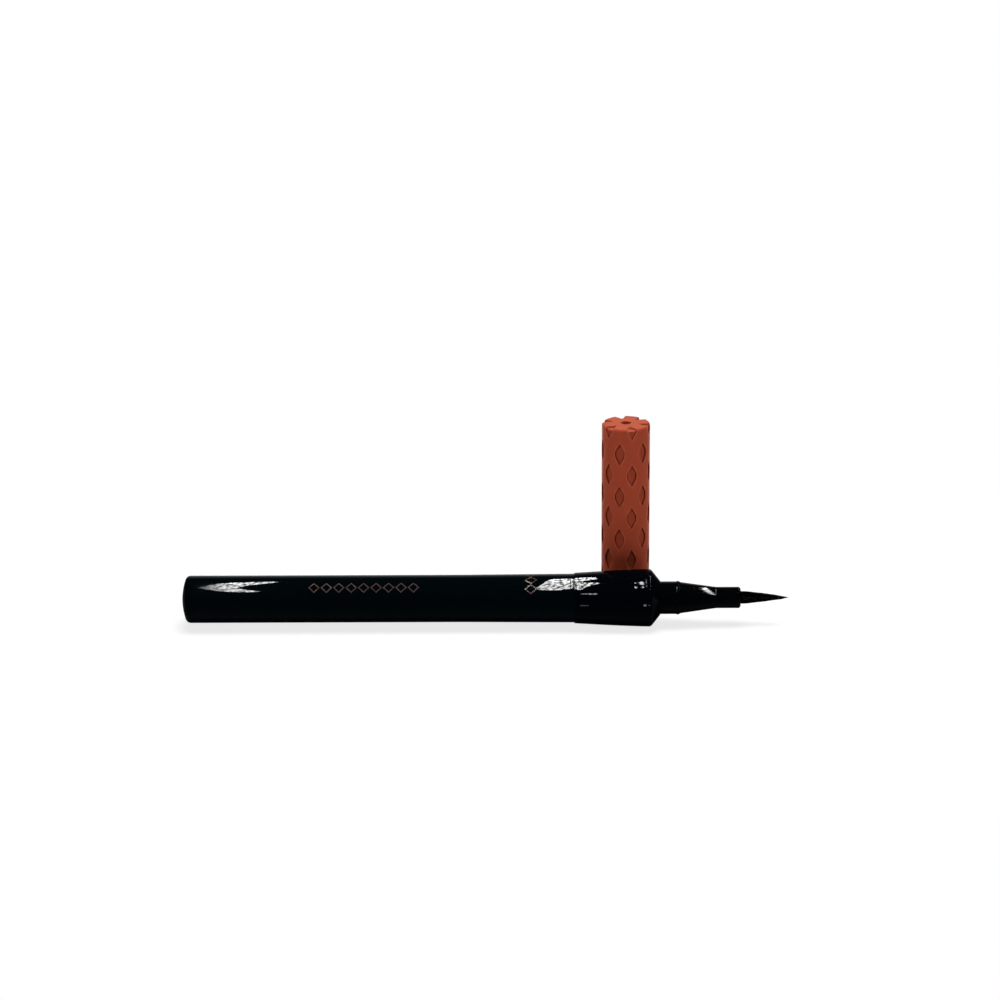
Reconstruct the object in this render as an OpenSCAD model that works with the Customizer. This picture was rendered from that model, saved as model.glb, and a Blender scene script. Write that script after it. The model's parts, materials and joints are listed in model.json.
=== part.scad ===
// Liquid eyeliner pen lying down, with its cap standing on its open end behind the collar.
// Millimetres, +Z up, +X towards the brush tip.
// The origin is on the ground, under the middle of the pair's bounding box.
// Along the pen every place is a distance from the nose base, where the collar ends.

/* [Barrel] */
// Length of the barrel from the tail to the collar seam
barrel_len = 81.6; // [70:0.1:100]
// Outer radius of the barrel's straight rear part
barrel_r = 4.93; // [4.7:0.01:6]
// Share of the barrel that is a true cylinder
straight_share = 0.71; // [0.5:0.01:0.9]
// Growth of the radius from the straight part to the seam
barrel_flare = 0.15; // [0.05:0.01:0.4]
// Wall of the barrel
barrel_wall = 0.7; // [0.5:0.01:0.9]
// Wall of the closed tail
tail_wall = 2.2; // [1.8:0.1:4]
// Radius of the shallow dome on the tail
tail_dome_r = 13; // [9:0.5:30]
// Radius of the round edge of the tail
tail_edge_r = 1.2; // [0.6:0.1:1.6]

/* [Collar] */
// Length of the collar from the seam to the nose base
collar_len = 17.9; // [16:0.1:24]
// Step in the radius at the seam
collar_step = 0.18; // [0.05:0.01:0.4]
// Radius that the collar's widest ring has beyond the barrel
collar_flare = 1.07; // [0.6:0.01:1.6]
// Length of the sloping front shoulder
shoulder_len = 2.4; // [1.6:0.1:3.2]
// Radius of the round edge of the shoulder
shoulder_edge_r = 0.9; // [0.3:0.1:1.2]
// Length of the barrel's spigot inside the collar
spigot_len = 7; // [5:0.1:9]
// Thickness of the nose flange that the collar clamps
flange_t = 1.8; // [1:0.1:3]

/* [Nose] */
// Radius of the land that the cap snaps on
land_r = 3.4; // [3.2:0.01:3.8]
// Length of the land with its bead
land_len = 4.2; // [3.6:0.1:6]
// Height of the snap bead
bead_h = 0.1; // [0.04:0.01:0.2]
// Width of the snap bead
bead_w = 0.9; // [0.5:0.1:1.4]
// Step in the radius from the land to the taper
land_step = 0.14; // [0.05:0.01:0.25]
// Length of the taper
taper_len = 7.4; // [5:0.1:12]
// Length of the straight front
front_len = 5.1; // [4:0.1:8]
// Chamfer at the open front
front_chamfer = 0.2; // [0.1:0.05:0.35]
// Wall of the straight front
front_wall = 0.49; // [0.42:0.01:0.8]
// Wall of the nose behind the taper
nose_wall = 0.7; // [0.5:0.01:0.9]
// Length of the nose skirt inside the barrel
skirt_len = 15; // [10:0.1:20]

/* [Brush] */
// Length of brush outside the nose
brush_out = 10.1; // [7:0.1:14]
// Radius of the brush where it leaves the nose
brush_r = 1.33; // [1.1:0.01:1.6]
// Number of strands
strand_count = 300; // [300:10:400]
// Share of the room round a strand that the strand fills
strand_share = 0.78; // [0.5:0.01:0.85]
// Share of the free length by which the outermost strands stop short
stagger = 0.42; // [0.2:0.01:0.6]
// Share of the brush radius that is left at the tip
tip_share = 0.16; // [0.12:0.01:0.3]
// Wall of the pipe round the brush
pipe_wall = 0.34; // [0.25:0.01:0.5]
// Width of the rim of the pipe's rear flange
pipe_rim = 0.8; // [0.3:0.05:0.85]
// Length of the ferrule round the brush root
ferrule_len = 6; // [3:0.1:8]
// Wall of the ferrule
ferrule_wall = 0.2; // [0.12:0.01:0.3]

/* [Ink system] */
// Wall of the ink tank
tank_wall = 0.55; // [0.4:0.01:0.8]
// Radius of the mixing ball
ball_r = 1.5; // [1:0.1:2]
// Flange of the tank stopper
stopper_flange_t = 1; // [0.6:0.1:2]
// Length of the stopper inside the tank
stopper_len = 4; // [3:0.1:6]
// Flange of the feed bush
bush_flange_t = 1.2; // [0.8:0.1:2]
// Length of the feed bush inside the tank
bush_len = 4; // [3:0.1:6]
// Thickness of the rubber seal rings
seal_t = 0.7; // [0.5:0.05:0.9]
// Radius of the porous relay core
relay_r = 0.95; // [0.7:0.01:1.05]
// Length of relay core that stands in the ink
relay_dip = 2; // [1:0.1:5]
// Number of fins on the collector
fin_count = 18; // [10:1:22]
// Share of the fin pitch that is fin
fin_share = 0.42; // [0.3:0.01:0.6]
// Wall of the collector's spine
spine_wall = 0.75; // [0.5:0.01:1]

/* [Cap] */
// Height of the cap from its open rim to its closed end
cap_len = 40.6; // [39:0.1:48]
// Wall of the outer sleeve
cap_wall = 0.88; // [0.8:0.01:1.4]
// Share of the room past the inner cap that the sleeve's closed end takes
cap_top_share = 0.228; // [0.18:0.001:0.3]
// Radius of the round edge of the closed end
cap_edge_r = 0.5; // [0.2:0.05:0.7]
// Gap between the collar's widest ring and the standing cap
cap_gap = 0.57; // [0.3:0.01:10]
// Distance of the cap axis behind the nose base
cap_behind = 7; // [0:0.1:40]
// Chamfer inside the open rim
mouth_chamfer = 0.45; // [0.2:0.05:0.6]

/* [Grip relief] */
// Number of lozenge columns round the cap
column_count = 12; // [8:2:16]
// Width of a lozenge
lozenge_w = 2; // [1.2:0.1:2.1]
// Height of a lozenge
lozenge_h = 4.7; // [3:0.1:6]
// Height from one lozenge to the next in a column
lozenge_pitch = 9.3; // [7.5:0.1:12]
// Depth of the middle of the first whole lozenge below the closed end
lozenge_first = 5.5; // [4.8:0.1:8]
// Height of the blunt side of a lozenge
lozenge_side = 1; // [0.2:0.1:1.6]
// Depth of the lozenges in the wall
recess = 0.36; // [0.2:0.01:0.5]
// Depth of the half lozenges in the closed end
top_recess = 0.5; // [0.2:0.05:0.8]
// Plain height that is left above the open rim
plain_rim = 1.5; // [1:0.1:8]
// Turn of the columns from the side that faces the pen
column_turn = 13.5; // [0:0.5:29.5]
// Radius of the dimple in the closed end
dimple_r = 1.05; // [0.5:0.05:1.5]
// Depth of the dimple
dimple_depth = 0.3; // [0.1:0.05:0.6]

/* [Inner cap] */
// Wall of the liner
liner_wall = 0.65; // [0.5:0.01:0.9]
// Depth of the liner's edge inside the cap rim
liner_inset = 1.4; // [1.3:0.1:3]
// Thickness of the liner's stop lip
stop_t = 1.2; // [0.8:0.1:2]
// Free gap between the stop lip and the nose
stop_gap = 0.2; // [0.1:0.01:0.3]
// Share of the room past the inner cap that the spring seat takes
seat_share = 0.158; // [0.1:0.001:0.2]
// Share of the spring seat that is its flange
seat_flange_share = 0.34; // [0.2:0.01:0.5]
// Share of the spring's length that the centring boss reaches into it
boss_share = 0.17; // [0.05:0.01:0.25]
// Travel of the inner cap against its spring
inner_travel = 1.2; // [0.6:0.1:1.6]
// Length of the inner cap's sealing bore
seal_bore_len = 5; // [3:0.1:5.5]
// Free space past the brush tip when the cap is on
tip_space = 1.4; // [0.8:0.1:2]
// Thickness of the inner cap's closed end
inner_top_t = 1; // [0.6:0.1:1.6]
// Thickness of the inner cap's two guide flanges
guide_t = 1.3; // [0.8:0.1:2]
// Height of the guide flanges beyond the inner cap's body
guide_h = 0.4; // [0.2:0.01:0.5]
// Radius of the bore round the brush beyond the brush itself
brush_gap = 0.5; // [0.3:0.05:0.6]
// Wire radius of the spring
wire_r = 0.2; // [0.15:0.01:0.25]
// Number of turns of the spring
turn_count = 5; // [4:0.5:6]
// Gap between the spring and the liner's wall
spring_gap = 0.4; // [0.2:0.05:0.8]

/* [Fits] */
// Radial gap between pieces that are pressed or glued together
seat_gap = 0.03; // [0.01:0.01:0.05]
// Radial gap of a running fit
run_gap = 0.06; // [0.03:0.01:0.1]
// Radial gap between the snap land and the cap's bore
snap_gap = 0.07; // [0.05:0.01:0.12]
// Gap between a moving piece and what it rests against
rest_gap = 0.1; // [0.05:0.01:0.3]
// Gap between the rolling ball and the tank
ball_gap = 0.3; // [0.2:0.05:0.5]

/* [Hidden] */
$fn = 64;
over = 1;
arc_steps = 8;
golden_turn = 137.508;
strand_sides = 3;
wire_sides = 6;
rings_per_turn = 8;

// Radii of the pen from the outside in
barrel_front_r = barrel_r + barrel_flare;
bore_r = barrel_r - barrel_wall;
spigot_r = (barrel_front_r + bore_r) / 2;
collar_back_r = barrel_front_r + collar_step;
collar_r = barrel_r + collar_flare;
tank_r = bore_r - seat_gap;
tank_bore_r = tank_r - tank_wall;
plug_r = tank_bore_r - seat_gap;
skirt_bore_r = tank_r - nose_wall;
fin_r = skirt_bore_r - seat_gap;

// Radii of the nose and the brush from the inside out
pipe_bore_r = brush_r + seat_gap;
pipe_r = pipe_bore_r + pipe_wall;
front_bore_r = pipe_r + seat_gap;
front_r = front_bore_r + front_wall;
neck_r = land_r + bead_h;
neck_hole_r = neck_r + seat_gap;
taper_r = land_r - land_step;
land_bore_r = taper_r - nose_wall;
pipe_flange_r = min(pipe_r + pipe_rim, land_bore_r - seat_gap);
ferrule_r = pipe_bore_r - seat_gap;
root_r = ferrule_r - ferrule_wall - seat_gap;
spine_bore_r = relay_r + seat_gap;
spine_r = spine_bore_r + spine_wall;

// Places along the pen, counted from the nose base
seam_s = -collar_len;
tail_s = seam_s - barrel_len;
straight_s = tail_s + straight_share * barrel_len;
spigot_s = seam_s + spigot_len;
flange_s = spigot_s + flange_t;
skirt_s = spigot_s - skirt_len;
lip_s = -shoulder_len - nose_wall;
taper_s = land_len;
straight_front_s = taper_s + taper_len;
front_s = straight_front_s + front_len;
tip_s = front_s + brush_out;
stopper_s = tail_s + tail_wall;
tank_back_s = stopper_s + stopper_flange_t;
tank_front_s = skirt_s - bush_flange_t;
ball_s = tank_back_s + stopper_len + ball_r + ball_gap;
pipe_s = 0;
ferrule_s = pipe_s + land_len;
slice_s = ferrule_s + ferrule_len;
slice_end_s = slice_s + nose_wall;
fins_s = lip_s - nose_wall;

// Radii of the cap from the inside out
liner_bore_r = land_r + snap_gap;
liner_r = liner_bore_r + liner_wall;
cap_bore_r = liner_r + seat_gap;
cap_r = cap_bore_r + cap_wall;
guide_r = liner_bore_r - run_gap;
inner_r = guide_r - guide_h;
seal_bore_r = front_r + run_gap;
brush_bore_r = brush_r + brush_gap;

// The sloping shoulder touches its round edge at this angle
shoulder_run = collar_r - shoulder_edge_r - neck_hole_r;
shoulder_reach = sqrt(shoulder_run * shoulder_run + shoulder_len * shoulder_len);
shoulder_turn = acos(-shoulder_edge_r / shoulder_reach) - atan2(shoulder_len, shoulder_run);
// The cap's rim meets the shoulder this far behind the nose base
dock = (cap_r - neck_hole_r) / tan(shoulder_turn);

// Heights in the cap, counted from its open rim
inner_s = dock + front_s - inner_travel - seal_bore_len;
stop_top_z = inner_s - rest_gap;
stop_z = stop_top_z - stop_t;
seal_end_z = inner_s + seal_bore_len;
inner_top_z = dock + tip_s + tip_space - inner_travel;
inner_end_z = inner_top_z + inner_top_t;
end_room = cap_len - inner_end_z;
seat_t = seat_share * end_room;
sleeve_top_z = cap_len - cap_top_share * end_room;
seat_top_z = sleeve_top_z - seat_gap;
liner_end_z = seat_top_z - seat_flange_share * seat_t;
seat_z = seat_top_z - seat_t;
boss_z = seat_z - boss_share * (seat_z - inner_end_z);
bead_z = dock + land_len - bead_w;
spring_r = liner_bore_r - spring_gap - wire_r;
coil_from_z = inner_end_z + wire_r + seat_gap;
coil_pitch = (seat_z - wire_r - seat_gap - coil_from_z) / turn_count;
taper_slope = (taper_r - front_r) / taper_len;
nose_at_stop_r = taper_r - taper_slope * (stop_z - dock - taper_s);
stop_bore_r = max(nose_at_stop_r, front_r) + stop_gap;

// Places of the pen and the cap in the room
cap_offset = collar_r + cap_gap + cap_r;
nose_x = -(tail_s + tip_s) / 2;
pen_y = -(cap_offset + cap_r - collar_r) / 2;
pen_z = collar_r;
cap_x = nose_x - cap_behind;
cap_y = pen_y + cap_offset;

// Points of an arc from one angle to another
function arc(cx, cy, r, from, to) =
    [for (i = [0 : arc_steps])
        let (a = from + (to - from) * i / arc_steps)
        [cx + r * cos(a), cy + r * sin(a)]];

// Puts a shape drawn along Z on the pen's axis, with Z towards the brush
module on_pen() {
    translate([nose_x, pen_y, pen_z]) rotate([0, 90, 0]) children();
}

// Puts a shape drawn along Z on the cap's axis
module on_cap() {
    translate([cap_x, cap_y, 0]) children();
}

// A tube between two places on the axis
module tube(r_out, r_in, from, to) {
    rotate_extrude()
        translate([r_in, from])
            square([r_out - r_in, to - from]);
}

// A round rod between two places on the axis
module rod(r, from, to) {
    translate([0, 0, from]) cylinder(r = r, h = to - from);
}

// A rubber ring of round section, with its outside at a radius
module seal_ring(r_out, at) {
    rotate_extrude()
        translate([r_out - seal_t / 2, at])
            circle(d = seal_t);
}

// A groove that takes the rubber ring
module seal_groove(r_out, at) {
    width = seal_t + 2 * seat_gap;
    rotate_extrude()
        translate([r_out - seal_t - seat_gap, at - width / 2])
            square([seal_t + over, width]);
}

module barrel_shell() {
    edge_c = tail_dome_r - tail_edge_r;
    edge_x = barrel_r - tail_edge_r;
    edge_s = tail_s + tail_dome_r - sqrt(edge_c * edge_c - edge_x * edge_x);
    dome_end = asin(edge_x / edge_c);
    color([0.02, 0.03, 0.04]) on_pen() rotate_extrude()
        polygon(concat(
            arc(0, tail_s + tail_dome_r, tail_dome_r, -90, -90 + dome_end),
            arc(edge_x, edge_s, tail_edge_r, -90 + dome_end, 0),
            [[barrel_r, straight_s],
             [barrel_front_r, seam_s],
             [spigot_r, seam_s],
             [spigot_r, spigot_s],
             [bore_r, spigot_s],
             [bore_r, stopper_s],
             [0, stopper_s]]));
}

module ink_tank() {
    color([0.75, 0.78, 0.8]) on_pen()
        tube(tank_r, tank_bore_r, tank_back_s, tank_front_s);
}

module tank_stopper() {
    hollow_r = plug_r / 2;
    color([0.85, 0.85, 0.82]) on_pen() difference() {
        union() {
            rod(tank_r, stopper_s, tank_back_s);
            rod(plug_r, stopper_s, tank_back_s + stopper_len);
        }
        rod(hollow_r, stopper_s - over, tank_back_s + stopper_len / 2);
    }
}

module mixing_ball() {
    color([0.7, 0.7, 0.72]) on_pen()
        translate([tank_bore_r - ball_r - ball_gap, 0, ball_s])
            sphere(r = ball_r);
}

module feed_bush() {
    groove_s = tank_front_s - bush_len / 2;
    color([0.85, 0.85, 0.82]) on_pen() difference() {
        union() {
            rod(tank_r, tank_front_s, skirt_s);
            rod(plug_r, tank_front_s - bush_len, skirt_s);
        }
        rod(spine_bore_r, tank_front_s - bush_len - over, skirt_s + over);
        seal_groove(plug_r, groove_s);
    }
}

module tank_seal_ring() {
    color([0.15, 0.15, 0.16]) on_pen()
        seal_ring(plug_r, tank_front_s - bush_len / 2);
}

module front_seal_ring() {
    color([0.15, 0.15, 0.16]) on_pen()
        seal_ring(spigot_r, spigot_s + flange_t / 2);
}

module collector() {
    pitch = (fins_s - skirt_s) / fin_count;
    color([0.9, 0.88, 0.8]) on_pen() difference() {
        union() {
            rod(spine_r, skirt_s, pipe_s);
            for (i = [0 : fin_count - 1])
                rod(fin_r, skirt_s + i * pitch, skirt_s + (i + fin_share) * pitch);
        }
        rod(spine_bore_r, skirt_s - over, pipe_s + over);
    }
}

module relay_core() {
    color([0.2, 0.2, 0.22]) on_pen()
        rod(relay_r, tank_front_s - bush_len - relay_dip, ferrule_s);
}

module collar() {
    swell = [for (i = [0 : arc_steps - 1])
        let (u = i / arc_steps)
        [collar_back_r + (collar_r - collar_back_r) * (u + sin(90 * u)) / 2,
         seam_s + u * (collar_len - shoulder_len)]];
    color([0.03, 0.03, 0.05]) on_pen() rotate_extrude()
        polygon(concat(
            [[spigot_r + seat_gap, seam_s]],
            swell,
            arc(collar_r - shoulder_edge_r, -shoulder_len, shoulder_edge_r, 0, shoulder_turn),
            [[neck_hole_r, 0],
             [neck_hole_r, lip_s],
             [tank_r + seat_gap, lip_s],
             [tank_r + seat_gap, flange_s],
             [spigot_r + seat_gap, flange_s]]));
}

module nose_cone() {
    bead_s = land_len - bead_w;
    color([0.03, 0.03, 0.05]) on_pen() difference() {
        rotate_extrude()
            polygon([[skirt_bore_r, skirt_s],
                     [tank_r, skirt_s],
                     [tank_r, spigot_s],
                     [spigot_r, spigot_s],
                     [spigot_r, flange_s],
                     [tank_r, flange_s],
                     [tank_r, lip_s],
                     [neck_r, lip_s],
                     [neck_r, 0],
                     [land_r, 0],
                     [land_r, bead_s],
                     [neck_r, bead_s + bead_w / 3],
                     [neck_r, bead_s + 2 * bead_w / 3],
                     [taper_r, taper_s],
                     [front_r, straight_front_s],
                     [front_r, front_s - front_chamfer],
                     [front_r - front_chamfer, front_s],
                     [front_bore_r, front_s],
                     [front_bore_r, straight_front_s],
                     [land_bore_r, taper_s],
                     [land_bore_r, fins_s],
                     [skirt_bore_r, fins_s]]);
        seal_groove(spigot_r, spigot_s + flange_t / 2);
    }
}

module brush_pipe() {
    color([0.1, 0.1, 0.12]) on_pen() {
        tube(pipe_flange_r, pipe_bore_r, pipe_s, pipe_s + nose_wall);
        tube(pipe_r, pipe_bore_r, pipe_s, front_s - front_chamfer);
    }
}

module brush_ferrule() {
    color([0.7, 0.7, 0.72]) on_pen()
        tube(ferrule_r, ferrule_r - ferrule_wall, ferrule_s, slice_s);
}

// Share of the brush radius at a place along the brush
function narrowing(u) = 1 - (1 - tip_share) * max(u, 0);

// The corner of one strand on one ring
function strand_corner(at, turn, size, u, k) =
    let (a = turn + 360 * k / strand_sides)
    [narrowing(u) * (at[0] + size * cos(a)),
     narrowing(u) * (at[1] + size * sin(a)),
     front_s + u * brush_out];

// Triangles of a closed bar through rings of points
function bar_faces(rings, sides) = concat(
    [for (j = [0 : rings - 2]) for (k = [0 : sides - 1])
        [j * sides + k, (j + 1) * sides + k, (j + 1) * sides + (k + 1) % sides]],
    [for (j = [0 : rings - 2]) for (k = [0 : sides - 1])
        [j * sides + k, (j + 1) * sides + (k + 1) % sides, j * sides + (k + 1) % sides]],
    [for (k = [1 : sides - 2]) [0, k, k + 1]],
    [for (k = [1 : sides - 2])
        [(rings - 1) * sides, (rings - 1) * sides + k + 1, (rings - 1) * sides + k]]);

// One tapering strand, which ends sooner the further out it stands
module strand(i) {
    out = sqrt((i + 0.5) / strand_count);
    turn = i * golden_turn;
    size = strand_share * brush_r * sqrt(PI / strand_count) / 2;
    at = (brush_r - size) * out * [cos(turn), sin(turn)];
    u_root = (slice_end_s - seat_gap - front_s) / brush_out;
    u_end = 1 - stagger * out * out;
    places = [u_root, 0, u_end];
    polyhedron(
        points = [for (u = places) for (k = [0 : strand_sides - 1])
            strand_corner(at, turn, size, u, k)],
        faces = bar_faces(len(places), strand_sides));
}

module brush_bundle() {
    color([0.02, 0.02, 0.03]) on_pen() {
        rod(root_r, ferrule_s, slice_s + seat_gap);
        rod(brush_r, slice_s, slice_end_s);
        for (i = [0 : strand_count - 1])
            strand(i);
    }
}

// The outline of one lozenge with blunt sides, upright in the XY plane
module lozenge() {
    polygon([[0, lozenge_h / 2],
             [lozenge_w / 2, lozenge_side / 2],
             [lozenge_w / 2, -lozenge_side / 2],
             [0, -lozenge_h / 2],
             [-lozenge_w / 2, -lozenge_side / 2],
             [-lozenge_w / 2, lozenge_side / 2]]);
}

// One lozenge cut in the wall at a height
module wall_cut(height) {
    translate([cap_r - recess, 0, height])
        rotate([90, 0, 90])
            linear_extrude(recess + over)
                lozenge();
}

// The half lozenge that folds over the edge on to the closed end
module top_cut() {
    translate([cap_r, 0, cap_len - top_recess])
        rotate([0, 0, 90])
            linear_extrude(top_recess + over)
                lozenge();
}

// One column of whole lozenges, counted down from a depth below the closed end
module column_cuts(first) {
    lowest = plain_rim + lozenge_h / 2;
    for (height = [cap_len - first : -lozenge_pitch : lowest])
        wall_cut(height);
}

module cap_sleeve() {
    dimple_ball_r = (dimple_r * dimple_r + dimple_depth * dimple_depth) / (2 * dimple_depth);
    color([0.8, 0.36, 0.26]) on_cap() difference() {
        rotate_extrude()
            polygon(concat(
                [[cap_bore_r, sleeve_top_z],
                 [cap_bore_r, mouth_chamfer],
                 [cap_bore_r + mouth_chamfer, 0],
                 [cap_r, 0]],
                arc(cap_r - cap_edge_r, cap_len - cap_edge_r, cap_edge_r, 0, 90),
                [[0, cap_len],
                 [0, sleeve_top_z]]));
        for (i = [0 : column_count / 2 - 1])
            rotate([0, 0, column_turn - 90 + i * 720 / column_count]) {
                top_cut();
                wall_cut(cap_len);
                column_cuts(lozenge_first + lozenge_pitch / 2);
                rotate([0, 0, 360 / column_count])
                    column_cuts(lozenge_first);
            }
        translate([0, 0, cap_len - dimple_depth + dimple_ball_r])
            sphere(r = dimple_ball_r);
    }
}

module cap_liner() {
    groove_from = bead_z - snap_gap;
    groove_to = bead_z + bead_w + snap_gap;
    color([0.12, 0.12, 0.13]) on_cap() difference() {
        rod(liner_r, liner_inset, liner_end_z);
        rod(liner_bore_r, liner_inset - over, stop_z);
        rod(liner_bore_r + bead_h, groove_from, groove_to);
        rod(stop_bore_r, stop_z - over, stop_top_z + over);
        rod(liner_bore_r, stop_top_z, liner_end_z + over);
    }
}

module spring_seat() {
    boss_r = spring_r - wire_r - spring_gap;
    color([0.12, 0.12, 0.13]) on_cap() {
        rod(liner_r, liner_end_z, seat_top_z);
        rod(liner_bore_r - seat_gap, seat_z, seat_top_z);
        rod(boss_r, boss_z, seat_top_z);
    }
}

// A point on the middle of the spring's wire after some turns
function coil_centre(turns) =
    [spring_r * cos(360 * turns), spring_r * sin(360 * turns), coil_from_z + turns * coil_pitch];

// The corner of the wire on one ring
function wire_corner(turns, k) =
    let (a = 360 * k / wire_sides, across = wire_r * cos(a))
    coil_centre(turns)
        + [across * cos(360 * turns), across * sin(360 * turns), wire_r * sin(a)];

// Points of the wire's surface after some turns
function wire_ring(turns) = [for (k = [0 : wire_sides - 1]) wire_corner(turns, k)];

// The least distance from one ring of wire to the rings a turn above it
function gap_above(turns) = min(
    [for (p = wire_ring(turns)) for (t = [-1 : 1])
        for (q = wire_ring(turns + 1 + t / rings_per_turn)) norm(p - q)]);

module inner_cap_spring() {
    steps = round(turn_count * rings_per_turn);
    last = (turn_count - 1) * rings_per_turn - 1;
    least_gap = min([for (i = [1 : last]) gap_above(i / rings_per_turn)]);
    echo(spring_least_gap_mm = least_gap);
    color([0.75, 0.76, 0.78]) on_cap() polyhedron(
        points = [for (i = [0 : steps]) each wire_ring(i / rings_per_turn)],
        faces = bar_faces(steps + 1, wire_sides));
}

module inner_cap() {
    color([0.92, 0.92, 0.9]) on_cap() difference() {
        union() {
            rod(inner_r, inner_s, inner_end_z);
            rod(guide_r, inner_s, inner_s + guide_t);
            rod(guide_r, inner_end_z - guide_t, inner_end_z);
        }
        rod(seal_bore_r, inner_s - over, seal_end_z);
        rod(brush_bore_r, seal_end_z - over, inner_top_z);
    }
}

barrel_shell();
ink_tank();
tank_stopper();
mixing_ball();
feed_bush();
tank_seal_ring();
front_seal_ring();
collector();
relay_core();
collar();
nose_cone();
brush_pipe();
brush_ferrule();
brush_bundle();
cap_sleeve();
cap_liner();
spring_seat();
inner_cap_spring();
inner_cap();
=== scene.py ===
"""Liquid eyeliner pen lying beside its upright cap: surfaces, finishes, light and camera.

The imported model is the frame, in metres. Sizes in the classes are millimetres and are those of the
part's own source. Every piece is a surface worked out with numpy as a function of two parameters.
"""

import json
import logging
import math
from dataclasses import dataclass, field
from enum import Enum
from typing import Callable, Union

import bpy
import numpy as np
from mathutils import Matrix, Vector

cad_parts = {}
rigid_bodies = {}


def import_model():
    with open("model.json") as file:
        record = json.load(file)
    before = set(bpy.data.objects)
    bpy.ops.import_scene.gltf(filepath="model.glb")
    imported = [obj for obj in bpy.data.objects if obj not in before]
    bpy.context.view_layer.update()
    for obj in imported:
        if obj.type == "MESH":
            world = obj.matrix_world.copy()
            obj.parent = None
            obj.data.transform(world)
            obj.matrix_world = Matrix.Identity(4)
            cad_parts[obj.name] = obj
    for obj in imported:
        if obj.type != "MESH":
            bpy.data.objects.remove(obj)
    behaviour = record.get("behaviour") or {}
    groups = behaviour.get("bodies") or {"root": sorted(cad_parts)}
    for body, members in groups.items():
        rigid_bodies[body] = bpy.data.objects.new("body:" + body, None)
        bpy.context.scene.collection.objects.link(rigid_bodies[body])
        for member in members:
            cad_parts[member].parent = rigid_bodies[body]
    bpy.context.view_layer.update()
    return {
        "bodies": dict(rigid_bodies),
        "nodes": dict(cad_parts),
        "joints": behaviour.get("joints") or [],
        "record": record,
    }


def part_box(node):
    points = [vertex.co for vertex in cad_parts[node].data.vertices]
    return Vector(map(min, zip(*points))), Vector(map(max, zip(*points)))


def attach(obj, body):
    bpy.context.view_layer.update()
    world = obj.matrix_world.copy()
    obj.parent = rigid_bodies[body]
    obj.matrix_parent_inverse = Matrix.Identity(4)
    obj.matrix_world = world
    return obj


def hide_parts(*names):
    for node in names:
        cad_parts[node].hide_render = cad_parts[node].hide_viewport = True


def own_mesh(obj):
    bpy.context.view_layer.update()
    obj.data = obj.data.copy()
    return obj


MM = 0.001
FULL_TURN = 2.0 * math.pi
GOLDEN_TURN = math.radians(137.508)
SAME_PLACE = 1e-6
NO_LENGTH = 1e-12
NO_TURN = 1e-9

Array = np.ndarray
Colour = tuple[float, float, float]
Feed = Union[float, int, tuple, bpy.types.NodeSocket]
Corner = tuple[float, float, float]

log = logging.getLogger("pen")


# Shapes


class Direction(Enum):
    """How an axis runs in the frame."""

    LYING = "towards +X"
    UPRIGHT = "towards +Z"


@dataclass(frozen=True)
class Axis:
    """A straight axis in millimetres.

    Args:
        start: The point from which distances along the axis count.
        direction: Which way the axis runs.
    """

    start: tuple[float, float, float]
    direction: Direction

    def points(self, along: Array, radius: Array, turn: Array) -> Array:
        """Places a grid round the axis: start + along * axis + radius * (cos turn, sin turn) across it.

        Args:
            along: Distance along the axis.
            radius: Distance from the axis.
            turn: Angle in radians, from the front of a lying axis and from +X of an upright one.

        Returns:
            Points in metres, with the coordinates in the last dimension.
        """
        along, radius, turn = np.broadcast_arrays(along, radius, turn)
        across, aside = radius * np.cos(turn), radius * np.sin(turn)
        if self.direction is Direction.LYING:
            parts = (along, -across, aside)
        else:
            parts = (across, aside, along)
        return (np.stack(parts, axis=-1) + np.array(self.start)) * MM


@dataclass
class Shell:
    """A closed surface.

    Args:
        points: Corners in metres.
        quads: Faces of four corners.
        triangles: Faces of three corners.
        marks: Named values, one for each point, that a finish reads.
    """

    points: Array
    quads: Array
    triangles: Array = field(default_factory=lambda: np.zeros((0, 3), int))
    marks: dict[str, Array] = field(default_factory=dict)

    def volume(self) -> float:
        """Signed volume: a sixth of the sum of a . (b x c) over all triangles, above 0 if faces look out."""
        cut = np.concatenate([self.quads[:, [0, 1, 2]], self.quads[:, [0, 2, 3]], self.triangles])
        a, b, c = (self.points[cut[:, k]] for k in range(3))
        return float(np.einsum("ij,ij->i", a, np.cross(b, c)).sum() / 6.0)

    def facing_out(self) -> "Shell":
        """The same shell with its faces turned outwards."""
        if self.volume() >= 0.0:
            return self
        return Shell(self.points, self.quads[:, ::-1], self.triangles[:, ::-1], self.marks)

    @staticmethod
    def joined(shells: list["Shell"]) -> "Shell":
        """Several shells as one mesh.

        Args:
            shells: The shells, each closed by itself.

        Returns:
            One shell that holds them all, without marks.
        """
        starts = np.cumsum([0] + [len(s.points) for s in shells[:-1]])
        return Shell(
            np.concatenate([s.points for s in shells]),
            np.concatenate([s.quads + n for s, n in zip(shells, starts)]),
            np.concatenate([s.triangles + n for s, n in zip(shells, starts)]),
        )


def grid_faces(rows: int, columns: int, rows_close: bool) -> Array:
    """Quads of a grid whose columns close on themselves: (i, j), (i, j + 1), (i + 1, j + 1), (i + 1, j).

    Args:
        rows: Number of rows of points.
        columns: Number of points in a row.
        rows_close: Whether the last row meets the first.

    Returns:
        Corner numbers, four for each face.
    """
    i = np.arange(rows if rows_close else rows - 1)[:, None]
    j = np.arange(columns)[None, :]
    below, beside = (i + 1) % rows, (j + 1) % columns
    corners = (i * columns + j, i * columns + beside, below * columns + beside, below * columns + j)
    return np.stack(np.broadcast_arrays(*corners), axis=-1).reshape(-1, 4)


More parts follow.
